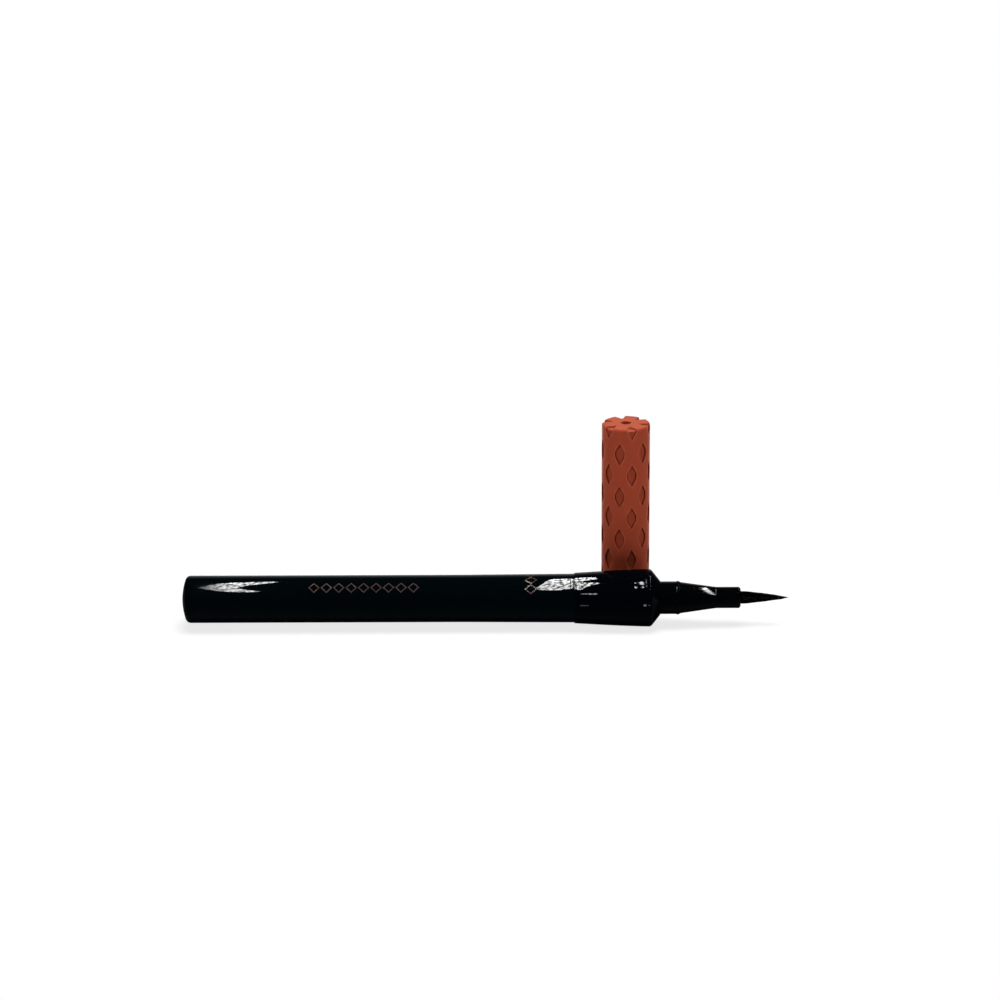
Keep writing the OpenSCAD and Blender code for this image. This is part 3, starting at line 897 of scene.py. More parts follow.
@dataclass
class Nose:
    """The stepped nose with its land, snap bead, taper and straight front, and the guide pipe inside.

    The flange and the groove for its rubber ring are (back, front, radius), and the pocket is (back, radius).
    """

    axis: Axis
    skirt_back: float = -25.9
    skirt_radius: float = 4.2
    flange: tuple[float, float, float] = (-10.9, -9.1, 4.655)
    groove: tuple[float, float, float] = (-10.35, -9.65, 3.93)
    neck_back: float = -3.1
    neck_radius: float = 3.5
    pocket: tuple[float, float] = (-3.8, 2.56)
    land: float = 3.4
    land_length: float = 4.2
    bead: float = 0.1
    bead_width: float = 0.9
    taper_radius: float = 3.26
    taper_end: float = 11.6
    front: float = 16.7
    front_radius: float = 2.22
    front_bore: float = 1.73
    pipe_radius: float = 1.70
    pipe_bore: float = 1.36
    pipe_flange: float = 2.5

    def outline(self) -> Array:
        """Half section from the skirt in the barrel to the open front and back through the bore."""
        bead_at = self.land_length - self.bead_width
        flange_back, flange_front, flange = self.flange
        groove_back, groove_front, groove = self.groove
        pocket_back, pocket = self.pocket
        return rounded([
            (self.skirt_back, self.neck_radius, 0.1), (self.skirt_back, self.skirt_radius, 0.1),
            (flange_back, self.skirt_radius, 0.0), (flange_back, flange, 0.1),
            (groove_back, flange, 0.0), (groove_back, groove, 0.1),
            (groove_front, groove, 0.1), (groove_front, flange, 0.0),
            (flange_front, flange, 0.1), (flange_front, self.skirt_radius, 0.0),
            (self.neck_back, self.skirt_radius, 0.0), (self.neck_back, self.neck_radius, 0.0),
            (0.0, self.neck_radius, 0.05), (0.0, self.land, 0.03),
            (bead_at, self.land, 0.15), (bead_at + 0.22, self.land + self.bead, 0.12),
            (bead_at + 0.55, self.land + self.bead, 0.12), (self.land_length, self.taper_radius, 0.1),
            (self.taper_end, self.front_radius, 1.2),
            (self.front - 0.3, self.front_radius, 0.15), (self.front, self.front_radius - 0.28, 0.1),
            (self.front, self.front_bore, 0.05),
            (self.taper_end, self.front_bore, 0.0), (self.land_length, pocket, 0.0),
            (pocket_back, pocket, 0.0), (pocket_back, self.neck_radius, 0.0)], steps=8)

    def build(self) -> None:
        """Makes the nose and the guide pipe."""
        Maker.piece("nose", turned(self.axis, self.outline(), 128), "pen", ("nose_cone",), NOSE_GLOSS)
        pipe = rounded([
            (0.0, self.pipe_bore, 0.0), (0.0, self.pipe_flange, 0.05), (0.7, self.pipe_flange, 0.05),
            (0.7, self.pipe_radius, 0.0), (self.front - 0.2, self.pipe_radius, 0.06),
            (self.front - 0.2, self.pipe_bore, 0.1)])
        Maker.piece("brush_guide", turned(self.axis, pipe, 96), "pen", ("brush_pipe",), GUIDE_BLACK)


@dataclass
class Brush:
    """The fine brush: hundreds of filaments that taper and draw together to a point."""

    axis: Axis
    strands: int = 640
    rings: int = 14
    radius: float = 1.33
    mouth: float = 16.7
    reach: float = 10.1
    root: float = 10.9
    stagger: float = 0.28
    thickness: float = 0.80
    inner_rings: float = 0.25
    tip_fade: float = 0.16
    sway: float = 0.018
    ferrule: tuple[float, float, float, float] = (4.2, 10.2, 1.33, 1.13)

    def narrowing(self, share: Array) -> Array:
        """Share of the bundle's radius at a share of its free length, a soft belly that ends in a point."""
        places = np.array([-1.0, 0.0, 0.09, 0.19, 0.30, 0.46, 0.62, 0.79, 0.87, 0.95, 1.0])
        widths = np.array([1.0, 1.0, 0.99, 0.93, 0.81, 0.70, 0.52, 0.36, 0.29, 0.19, 0.12])
        return np.interp(share, places, widths)

    def bundle(self) -> Shell:
        """Strand i stands at sqrt(i / n) of the radius, i golden turns round, and follows the narrowing.

        Outer strands end further back, by the stagger. A quarter of a strand's rings lie inside the nose, and
        the rest are even from its mouth to the strand's end, near which the strand itself grows fine.
        """
        i = np.arange(self.strands)[:, None, None]
        out = np.sqrt((i + 0.5) / self.strands)
        turn = i * GOLDEN_TURN
        size = self.thickness * self.radius * math.sqrt(math.pi / self.strands) / 2.0
        end = 1.0 - self.stagger * out ** 2 * (0.75 + 0.25 * np.sin(i * 2.4))
        start = (self.root - self.mouth) / self.reach
        k = np.linspace(0.0, 1.0, self.rings)[None, :, None]
        inside = self.inner_rings
        k = np.where(k < inside, k / inside * (-start) / (end - start),
                     -start / (end - start) + (k - inside) / (1.0 - inside) * (1.0 + start / (end - start)))
        share = start + (end - start) * k
        pull = self.narrowing(share)
        free = np.clip(share, 0.0, None)
        sway = self.sway * np.sin(i * 1.7) * free
        fine = pull * np.clip((end - share) / self.tip_fade, 0.12, 1.0) ** 0.7
        side = np.arange(4)[None, None, :] * FULL_TURN / 4.0 + turn
        across = (self.radius - size) * out * pull * np.cos(turn + sway) + size * fine * np.cos(side)
        aside = (self.radius - size) * out * pull * np.sin(turn + sway) + size * fine * np.sin(side)
        along = self.mouth + share * self.reach + np.zeros_like(side)
        return bars(self.axis.points(along, np.hypot(across, aside), np.arctan2(aside, across)))

    def build(self) -> None:
        """Makes the bundle with its root, and the ferrule round the root."""
        start, end, outside, inside = self.ferrule
        stem, past = inside - 0.03, end + 0.02
        root = rounded([(start, 0.0, 0.0), (start, stem, 0.1), (past, stem, 0.0),
                        (past, self.radius, 0.0), (self.root, self.radius, 0.05), (self.root, 0.0, 0.0)])
        shells = [turned(self.axis, root, 48), self.bundle()]
        Maker.piece("brush", Shell.joined(shells), "pen", ("brush_bundle",), FILAMENT_BLACK, crease=60.0)
        band = rounded([(start, inside, 0.03), (start, outside, 0.05),
                        (end, outside, 0.05), (end, inside, 0.03)])
        Maker.piece("ferrule", turned(self.axis, band, 96), "pen", ("brush_ferrule",), FERRULE_SATIN)


@dataclass
class CapSleeve:
    """The matt sleeve with staggered lozenge recesses that fold over its closed end into six petals.

    Heights are unrolled over the closed end: past the edge they go on as the way in towards the middle. The
    first sizes are those of the sleeve, the rest say where the grid's lines run and what the finish reads.
    """

    axis: Axis
    radius: float = 5.03
    height: float = 40.6
    edge: float = 0.5
    bore: float = 4.15
    bore_top: float = 38.0
    mouth_chamfer: float = 0.45
    columns: int = 12
    turn: float = 13.5
    half_width: float = 1.0
    half_height: float = 2.35
    blunt: float = 0.5
    pitch: float = 9.3
    first: float = 5.5
    plain_rim: float = 1.5
    recess: float = 0.36
    top_recess: float = 0.5
    wall_out: float = 0.11
    wall_in: float = 0.19
    floor_corner: float = 0.2
    dimple_radius: float = 1.2
    dimple_depth: float = 0.3
    first_ring: float = 0.06
    petal_ring: float = 2.3
    ring_step: float = 0.05
    last_ring: float = 0.3
    least_width: float = 0.28
    line_offsets: tuple[float, ...] = (-0.21, -0.16, -0.11, -0.06, -0.01, 0.04, 0.09, 0.14, 0.22)
    # Painted shade on recess walls and in the dimple, painted shadow at recess tips, less on the closed end.
    wall_gain: float = 4.6
    hollow_shade_gain: float = 4.2
    tip_shadow_reach: float = 1.2
    tip_fade: float = 0.9
    tip_shadow_share: float = 0.9
    top_share: float = 0.35
    # Painted highlight just outside each recess edge, and painted sheen on the closed end.
    rim_place: float = 0.17
    rim_width: float = 0.12
    top_sheen_share: float = 0.9

    def centres(self, column: int) -> Array:
        """Unrolled heights of a column's lozenges. Every other column folds one more over the edge."""
        lowest = self.plain_rim + self.half_height
        if column % 2:
            return np.arange(self.height - self.first, lowest, -self.pitch)
        whole = np.arange(self.height - self.first - self.pitch / 2.0, lowest, -self.pitch)
        return np.append(self.height, whole)

    @staticmethod
    def nearest(height: Array, centres: Array) -> Array:
        """Height above the nearest lozenge centre."""
        away = height[:, None] - centres[None, :]
        return away[np.arange(len(height)), np.argmin(np.abs(away), axis=1)]

    def width_at(self, away: Array) -> Array:
        """Half width of a lozenge at a height from its centre."""
        slope = self.half_width / (self.half_height - self.blunt)
        return np.clip(self.half_width - slope * (np.abs(away) - self.blunt), 0.0, self.half_width)

    def distance(self, across: Array, away: Array) -> Array:
        """Distance to a lozenge's edge, to its blunt side or its slope, and negative inside."""
        x, y = np.abs(across), np.abs(away)
        a = np.array([self.half_width, 0.0])
        b = np.array([self.half_width, self.blunt])
        c = np.array([0.0, self.half_height])
        away_from = []
        for start, end in ((a, b), (b, c)):
            run = end - start
            t = np.clip(((x - start[0]) * run[0] + (y - start[1]) * run[1]) / (run @ run), 0.0, 1.0)
            away_from.append(np.hypot(x - start[0] - t * run[0], y - start[1] - t * run[1]))
        run = c - b
        slanted = (x - b[0]) * run[1] - (y - b[1]) * run[0]
        inside = (x < self.half_width) & (slanted < 0.0)
        near = np.minimum(away_from[0], away_from[1])
        return np.where(inside, -near, near)

    def depth_share(self, distance: Array) -> Array:
        """Share of the recess depth: the square of a smooth step from outside the edge to inside it."""
        t = np.clip((self.wall_out - distance) / (self.wall_out + self.wall_in), 0.0, 1.0)
        return (t * t * (3.0 - 2.0 * t)) ** 2

    def top_rings(self) -> Array:
        """Radii of the rings on the closed end: close over the dimple and the petals, and none between."""
        over_dimple = np.linspace(self.first_ring, self.dimple_radius + 0.14, 13)
        over_petals = np.linspace(self.petal_ring + 0.08, self.radius - self.edge, 26)
        return np.concatenate([over_dimple, [self.petal_ring], over_petals])

    def side_rings(self) -> Array:
        """Heights of the rings down the side, all on even steps, close at the lozenges' blunt sides and tips.

        Places count from the middle of a lozenge and come again every half pitch. The plain side between the
        lowest lozenges and the open rim is straight and has a ring at each end only.
        """
        half_pitch = self.pitch / 2.0
        blunt_sides, tips = np.linspace(0.3, 0.7, 5), np.linspace(1.95, 2.7, 10)
        slope, between = np.linspace(0.7, 1.95, 7)[1:-1], np.linspace(2.7, 3.95, 6)[1:-1]
        places = np.concatenate([[-0.3, 0.0], blunt_sides, slope, tips, between, half_pitch - blunt_sides])
        depths = self.first - half_pitch + places[None, :] + half_pitch * np.arange(9)[:, None]
        folded = np.concatenate([blunt_sides, slope, tips])
        every = np.unique((np.concatenate([depths.ravel(), folded]) / self.ring_step).round())
        side = self.height - self.ring_step * every
        side = side[(side < self.height - self.edge - 0.03) & (side > self.last_ring)]
        lowest = min(self.centres(column).min() for column in range(self.columns)) - self.half_height
        plain = side < lowest - self.rim_place - self.rim_width - 2.0 * self.ring_step
        return np.concatenate([[self.height - self.edge], side[~plain], side[plain][[0, -1]]])

    def path(self) -> tuple[Array, Array, Array, Array, Array]:
        """The sleeve's outside from the middle of its closed end to its open rim.

        Returns:
            Radius and height on the surface, radius and height on the recess floor, and unrolled height.
        """
        corner = self.floor_corner
        top_in = self.radius - self.half_height
        top, side = self.top_rings(), self.side_rings()
        floor_edge = self.radius - self.recess - corner
        top_floor = np.where(top > top_in, top_in + (top - top_in) * (floor_edge - top_in)
                             / (self.radius - self.edge - top_in), top)
        bend = np.linspace(0.0, math.pi / 2, 10)[1:-1]
        out, up = np.sin(bend), np.cos(bend)
        low = self.height - self.half_height
        floor_top = self.height - self.top_recess - corner
        side_floor = np.where(side > low, low + (side - low) * (floor_top - low)
                              / (self.height - self.edge - low), side)
        radius = np.concatenate([top, self.radius - self.edge + self.edge * out,
                                 np.full(len(side), self.radius)])
        height = np.concatenate([np.full(len(top), self.height),
                                 self.height - self.edge + self.edge * up, side])
        floor_radius = np.concatenate([top_floor, floor_edge + corner * out,
                                       np.full(len(side), self.radius - self.recess)])
        floor_height = np.concatenate([np.full(len(top), self.height - self.top_recess),
                                       floor_top + corner * up, side_floor])
        folded = self.height + self.edge - 2.0 * self.edge * bend / (math.pi / 2)
        unrolled = np.concatenate([self.height + self.radius - top, folded, side])
        return radius, height, floor_radius, floor_height, unrolled

    def lines(self, width: Array, room: Array) -> Array:
        """Grid lines across half a column, from its middle to its edge, that follow a lozenge's side.

        Args:
            width: Half width of the lozenge in each row.
            room: Half width of the column in each row.

        Returns:
            Places as shares of the column's half width, one row for each row.
        """
        width = np.maximum(width, self.least_width)[:, None]
        room = room[:, None]
        sides = width + np.array(self.line_offsets)[None, :]
        sides = sides * np.minimum(1.0, (room - 0.02) / (width + 0.25))
        middle = np.concatenate([np.zeros_like(width), sides[:, :1] / 2.0], axis=1)
        beyond = (sides[:, -1:] + room) / 2.0
        return np.concatenate([middle, sides, beyond, room], axis=1) / room

    def marks(self, distance: Array, away: Array, share: Array, radius: Array,
              unrolled: Array) -> dict[str, Array]:
        """Where the finish paints shade and highlight on the outside.

        Painted shade grows on the recess walls as share * (1 - share), towards a recess's upper tip as
        painted shadow, and in the dimple towards its middle. The painted rim highlight is palest at its own
        distance outside the edge, and the closed end is pale all over with painted sheen.

        Args:
            distance: Distance to the nearest lozenge's edge.
            away: Height above the nearest lozenge's centre.
            share: Share of the recess depth.
            radius: Radius of each row.
            unrolled: Unrolled height of each row.

        Returns:
            The marks of painted shade, painted highlight and recess depth, from 0 to 1.
        """
        # Painted shade in the dimple, darkest at its middle.
        gain = self.hollow_shade_gain
        hollow_shade = np.clip(gain - gain * radius / self.dimple_radius, 0.0, 1.0)[:, None]
        # Painted shadow towards each recess's upper tip.
        tips = np.clip((away - self.half_height + self.tip_shadow_reach) / self.tip_fade, 0.0, 1.0) * self.tip_shadow_share
        level = np.where(unrolled > self.height - 0.3, self.top_share, 1.0)[:, None]
        # Painted shade on the recess walls, scaled down on the closed end.
        walls = np.clip(self.wall_gain * share * (1.0 - share), 0.0, 1.0) * level
        wall = np.maximum(np.maximum(walls, tips * np.clip(2.0 * share, 0.0, 1.0) * level), hollow_shade)
        # Painted sheen on the closed end and painted highlight just outside each recess edge.
        top_sheen = np.clip((unrolled - self.height) / self.edge, 0.0, self.top_sheen_share)[:, None]
        rim_highlight = np.clip(1.0 - np.abs(distance - self.rim_place) / self.rim_width, 0.0, 1.0)
        return {"wall": wall, "rim": np.maximum(rim_highlight, top_sheen), "floor": share}

    def shell(self) -> Shell:
        """Each point moves from the surface to the recess floor by the depth share at its distance."""
        radius, height, floor_radius, floor_height, unrolled = self.path()
        half = math.pi / self.columns
        room = np.maximum(radius, self.petal_ring) * half
        past_petals = unrolled > self.height + self.half_height + 0.5
        turns, aways, heights = [], [], []
        for column in range(self.columns):
            away = self.nearest(unrolled, self.centres(column))
            away = np.where(past_petals, self.pitch, away)
            share = self.lines(self.width_at(away), room)
            across = np.concatenate([-share[:, :0:-1], share[:, :-1]], axis=1) * half
            middle = math.radians(self.turn - 90.0 + column * 360.0 / self.columns)
            turns.append(middle + across)
            heights.append(np.broadcast_to(away[:, None], across.shape))
            aways.append(self.distance(across * radius[:, None], heights[-1]))
        turn, distance = np.concatenate(turns, axis=1), np.concatenate(aways, axis=1)
        share = self.depth_share(distance)
        r = radius[:, None] + (floor_radius - radius)[:, None] * share
        z = height[:, None] + (floor_height - height)[:, None] * share
        dimple = self.dimple_depth * np.clip(1.0 - (radius / self.dimple_radius) ** 2, 0.0, 1.0) ** 1.5
        z = z - dimple[:, None]
        columns = turn.shape[1]
        inner = rounded([
            (0.25, self.radius, 0.0), (0.0, self.radius, 0.12),
            (0.0, self.bore + self.mouth_chamfer, 0.08), (self.mouth_chamfer, self.bore, 0.08),
            (self.bore_top, self.bore, 0.2), (self.bore_top, 0.03, 0.0)])
        even = turn[-1:, :]
        r = np.concatenate([r, np.repeat(inner[:, 1:2], columns, axis=1)])
        z = np.concatenate([z, np.repeat(inner[:, :1], columns, axis=1)])
        turn = np.concatenate([turn, np.repeat(even, len(inner), axis=0)])
        outside = self.marks(distance, np.concatenate(heights, axis=1), share, radius, unrolled)
        inside = np.zeros((len(inner), columns))
        marks = {name: np.concatenate([mark, inside]).ravel() for name, mark in outside.items()}
        points = self.axis.points(z, r, turn).reshape(-1, 3)
        grid = Shell(points, grid_faces(len(r), columns, False), marks=marks)
        poles = np.array([self.height - self.dimple_depth, self.bore_top])
        return closed_at_poles(grid, self.axis, poles, columns).facing_out()

    def build(self) -> None:
        """Makes the sleeve."""
        Maker.piece("cap", self.shell(), "cap", ("cap_sleeve",), CORAL, crease=75.0)


@dataclass
class CapInside:
    """What the cap holds: the liner, the spring seat, the spring and the inner cap."""

    axis: Axis
    seat: float = 36.167
    inner_end: float = 29.194
    wire: float = 0.2
    coil_radius: float = 2.87
    turns: float = 5.0
    closed: float = 0.9
    bend: float = 0.3
    play: float = 0.03
    travel: float = 1.2

    def spring_shell(self) -> Shell:
        """A round wire on a helix whose first and last turns lie closed.

        The centre runs as (R, 360 * turns, z), and the section as (wire * cos b outwards, wire * sin b up).
        Height z grows by just over one wire in a closed turn, half as fast as in an open one in the bend
        between them, and evenly in the open ones.
        """
        start, end = self.inner_end + self.wire + self.play, self.seat - self.wire - self.play
        along = np.linspace(0.0, self.turns, int(self.turns * 48) + 1)[:, None]
        around = (np.arange(12) * FULL_TURN / 12)[None, :]
        radius = self.coil_radius + self.wire * np.cos(around)
        closed, whole = self.closed, end - start
        low = 2.1 * self.wire * closed
        slope = (whole - 2.0 * low) / (self.turns - 2.0 * closed - self.bend)
        eased = low + self.bend / 2.0 * slope
        bends = np.array([0.0, closed, closed + self.bend,
                          self.turns - closed - self.bend, self.turns - closed, self.turns])
        rises = np.array([0.0, low, eased, whole - eased, whole - low, whole])
        height = start + np.interp(along, bends, rises) + self.wire * np.sin(around)
        ring = self.axis.points(height, radius, along * FULL_TURN)
        rows = len(along)
        points = ring.reshape(-1, 3)
        quads = grid_faces(rows, 12, False)
        centres = ring[[0, -1]].mean(axis=1)
        first, beside = np.arange(12), (np.arange(12) + 1) % 12
        last = (rows - 1) * 12
        near = np.stack([np.full(12, len(points)), beside, first], axis=-1)
        far = np.stack([np.full(12, len(points) + 1), last + first, last + beside], axis=-1)
        return Shell(np.concatenate([points, centres]), quads, np.concatenate([near, far])).facing_out()

    def build(self, frame: dict) -> None:
        """Dresses the solids in the cap and makes the spring."""
        spring = Maker.piece("inner_cap_coil", self.spring_shell(), "cap", ("inner_cap_spring",),
                             SPRING_STEEL)
        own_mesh(spring)
        Maker.dress(frame, "cap_liner", LINER_BLACK)
        Maker.dress(frame, "spring_seat", LINER_BLACK)
        Maker.dress(frame, "inner_cap", INNER_NATURAL)


@dataclass
class InkSystem:
    """The ink tank with its plugs and ball, and the comb and core that lead the ink to the brush."""

    axis: Axis

    def build(self, frame: dict) -> None:
        """Dresses the solids of the ink system."""
        finishes = {
            "ink_tank": TANK_NATURAL, "tank_stopper": PLUG_NATURAL, "mixing_ball": BALL_STEEL,
            "feed_bush": PLUG_NATURAL, "tank_seal_ring": SEAL_RUBBER, "front_seal_ring": SEAL_RUBBER,
            "collector": COMB_IVORY, "relay_core": CORE_FIBRE}
        for node, finish in finishes.items():
            Maker.dress(frame, node, finish)


# Studio


@dataclass(frozen=True)
class LightCard:
    """A flat card that shows only in gloss, where it makes a sharp highlight.

    Args:
        name: Name of the card.
        level: Height of a flat card above the floor, or where an upright card stands on Y, in millimetres.
        corners: Outline in millimetres, as (x, y) of a flat card or (x, z) of an upright one.
        strength: Light it gives. A dark card gives none and cuts the light of a bright one to shape.
        gaps: Share of the light that is left in the dark streaks.
        upright: Whether the card stands in front of the pen, or else hangs above it.
        dim_end: Places on X, in millimetres, between which the light grows from dim to full.
        lean: Angle of the streaks in degrees.
        streaks: Streaks in a metre, across them and along them.
        slant: Second stretch of the leaning pattern.
    """

    name: str
    level: float
    corners: tuple[tuple[float, float], ...]
    strength: float = 110.0
    gaps: float = 0.06
    upright: bool = False
    dim_end: tuple[float, float] = (-200.0, -100.0)
    lean: float = -16.0
    streaks: tuple[float, float, float] = (4800.0, 160.0, 0.0)
    slant: tuple[float, float, float] = (0.24, 0.85, 1.0)

    def material(self) -> bpy.types.Material:
        """Light broken into slanting streaks by stretched noise."""
        material = bpy.data.materials.new(self.name)
        material.use_nodes = True
        tree = material.node_tree
        tree.nodes.clear()
        w = Wiring(tree)
        place = w.add("ShaderNodeTexCoord").outputs["Object"]
        lean = (0.0, 0.0, math.radians(self.lean))
        slanted = w.add("ShaderNodeMapping", {
            "Vector": place, "Rotation": lean, "Scale": self.streaks}).outputs[0]
        streaks = w.add("ShaderNodeVectorMath", {0: slanted, 1: self.slant}, operation="MULTIPLY").outputs[0]
        light = w.fade(w.noise(streaks, 1.0, 3.5), 0.43, 0.56, self.gaps, 1.0)
        run = w.add("ShaderNodeSeparateXYZ", {0: place}).outputs["X"]
        grown = w.fade(run, self.dim_end[0] * MM, self.dim_end[1] * MM, 0.1, 1.0)
        strength = w.sum("MULTIPLY", w.sum("MULTIPLY", light, grown), self.strength)
        glow = w.add("ShaderNodeEmission", {"Color": (1.0, 1.0, 1.0, 1.0), "Strength": strength}).outputs[0]
        w.add("ShaderNodeOutputMaterial", {"Surface": glow})
        return material

    def build(self) -> None:
        """Makes the card, which only glossy rays meet."""
        mesh = bpy.data.meshes.new(self.name)
        spots = [(x, self.level, other) if self.upright else (x, other, self.level)
                 for x, other in self.corners]
        mesh.from_pydata([tuple(c * MM for c in spot) for spot in spots], [], [tuple(range(len(spots)))])
        mesh.materials.append(self.material())
        card = bpy.data.objects.new(self.name, mesh)
        bpy.context.scene.collection.objects.link(card)
        card.visible_camera = card.visible_diffuse = card.visible_shadow = False
        card.visible_transmission = card.visible_volume_scatter = False


ABOVE = 60.0
JUST_ABOVE = 14.0
IN_FRONT = -17.0

CARDS = (
    LightCard("card_rear", ABOVE, (
        (-62.9, -20.8), (-61.5, -10.4), (-59.8, -2.9), (-57.6, 3.3), (-55.5, 7.5), (-52.7, 9.9),
        (-49.9, 12.3), (-47.3, 14.2), (-45.5, 11.9), (-47.2, 5.4), (-49.3, -0.4), (-51.5, -6.9),
        (-53.0, -13.2), (-54.4, -19.9), (-54.4, -23.7), (-53.2, -29.3), (-51.6, -35.9), (-49.8, -41.9),
        (-52.1, -46.5), (-54.8, -46.9), (-57.5, -42.4), (-59.9, -34.5), (-61.7, -27.4)),
        dim_end=(-63.0, -56.0)),
    LightCard("card_seam", ABOVE, (
        (10.1, -32.8), (10.1, 10.0), (11.4, 20.0), (14.2, 22.2), (15.7, 24.4), (17.0, 24.8), (18.4, 24.5),
        (19.9, 21.0), (19.9, -10.0), (19.2, -20.0), (18.2, -32.9), (16.8, -36.7), (14.8, -42.0),
        (12.2, -41.6), (11.1, -38.9))),
    LightCard("dark_card_rear", JUST_ABOVE, (
        (9.81, -11.04), (10.86, -9.91), (11.49, -8.74), (12.34, -7.07), (13.18, -5.69), (14.02, -4.95),
        (14.65, -4.53), (14.67, -1.64), (9.87, -1.12)), 0.0),
    LightCard("dark_card_notch", JUST_ABOVE, (
        (19.85, -7.12), (21.03, -6.97), (22.30, -6.72), (23.78, -6.61), (23.69, -8.79), (21.81, -8.35),
        (20.55, -8.29), (19.93, -8.20)), 0.0),
    LightCard("dark_card_front", JUST_ABOVE, (
        (19.68, -11.60), (20.40, -10.94), (21.29, -10.06), (22.17, -9.48), (23.66, -9.32), (24.16, -11.80),
        (23.71, -15.10), (19.48, -14.67)), 0.0),
    LightCard("dark_card_seam_a", JUST_ABOVE, (
        (17.50, -13.0), (17.66, -13.0), (17.72, -4.0), (17.56, -4.0)), 0.0),
    LightCard("dark_card_seam_b", JUST_ABOVE, (
        (18.20, -13.0), (18.38, -13.0), (18.32, -4.0), (18.14, -4.0)), 0.0),
    LightCard("dark_card_seam_c", JUST_ABOVE, (
        (18.95, -13.0), (19.05, -13.0), (19.12, -7.0), (19.02, -7.0)), 0.0),
    LightCard("card_glint_a", ABOVE, ((29.2, -14.0), (29.5, -12.6), (29.6, -16.6), (29.3, -19.8)), 80.0, 0.9),
    LightCard("card_glint_b", ABOVE, (
        (28.8, -32.0), (29.1, -30.4), (29.3, -36.0), (29.0, -41.0), (28.7, -40.0)), 80.0, 0.9),
    LightCard("card_glint_c", ABOVE, (
        (30.6, -14.0), (31.3, -9.8), (31.8, -12.5), (31.9, -22.4), (31.4, -25.2), (30.8, -22.4)), 90.0, 0.7),
    LightCard("card_glint_d", ABOVE, ((31.2, -32.2), (31.5, -30.6), (31.6, -37.4), (31.1, -39.8)), 80.0, 0.9),
    LightCard("card_glint_e", ABOVE, ((32.8, 0.0), (33.0, 0.0), (32.5, -35.0), (32.3, -35.0)), 22.0, 0.1),
    LightCard("card_nose", ABOVE, (
        (59.6, 40.0), (59.6, 17.7), (60.5, -1.0), (62.9, -19.3), (65.8, -33.8), (68.8, -45.9), (71.3, -56.8),
        (68.5, -47.8), (65.1, -35.3), (62.0, -20.6), (60.3, -10.5), (58.9, 1.8), (58.3, 18.2)), 110.0, 0.35),
    LightCard("card_line", IN_FRONT, (
        (18.8, 14.3), (22.2, 14.5), (22.4, 13.6), (22.1, 12.9), (18.8, 13.6)), 45.0, 0.3, True),
    LightCard("card_low_line", IN_FRONT, (
        (18.9, 4.9), (20.7, 5.0), (20.7, 4.3), (18.9, 4.1)), 7.0, 0.6, True),
    LightCard("card_low_dot", IN_FRONT, (
        (32.6, 5.9), (33.2, 5.9), (33.2, 4.7), (32.6, 4.7)), 16.0, 0.8, True),
    LightCard("card_low_dash", IN_FRONT, (
        (33.7, 5.5), (36.5, 5.5), (36.5, 5.0), (33.7, 5.0)), 8.0, 0.5, True),
)


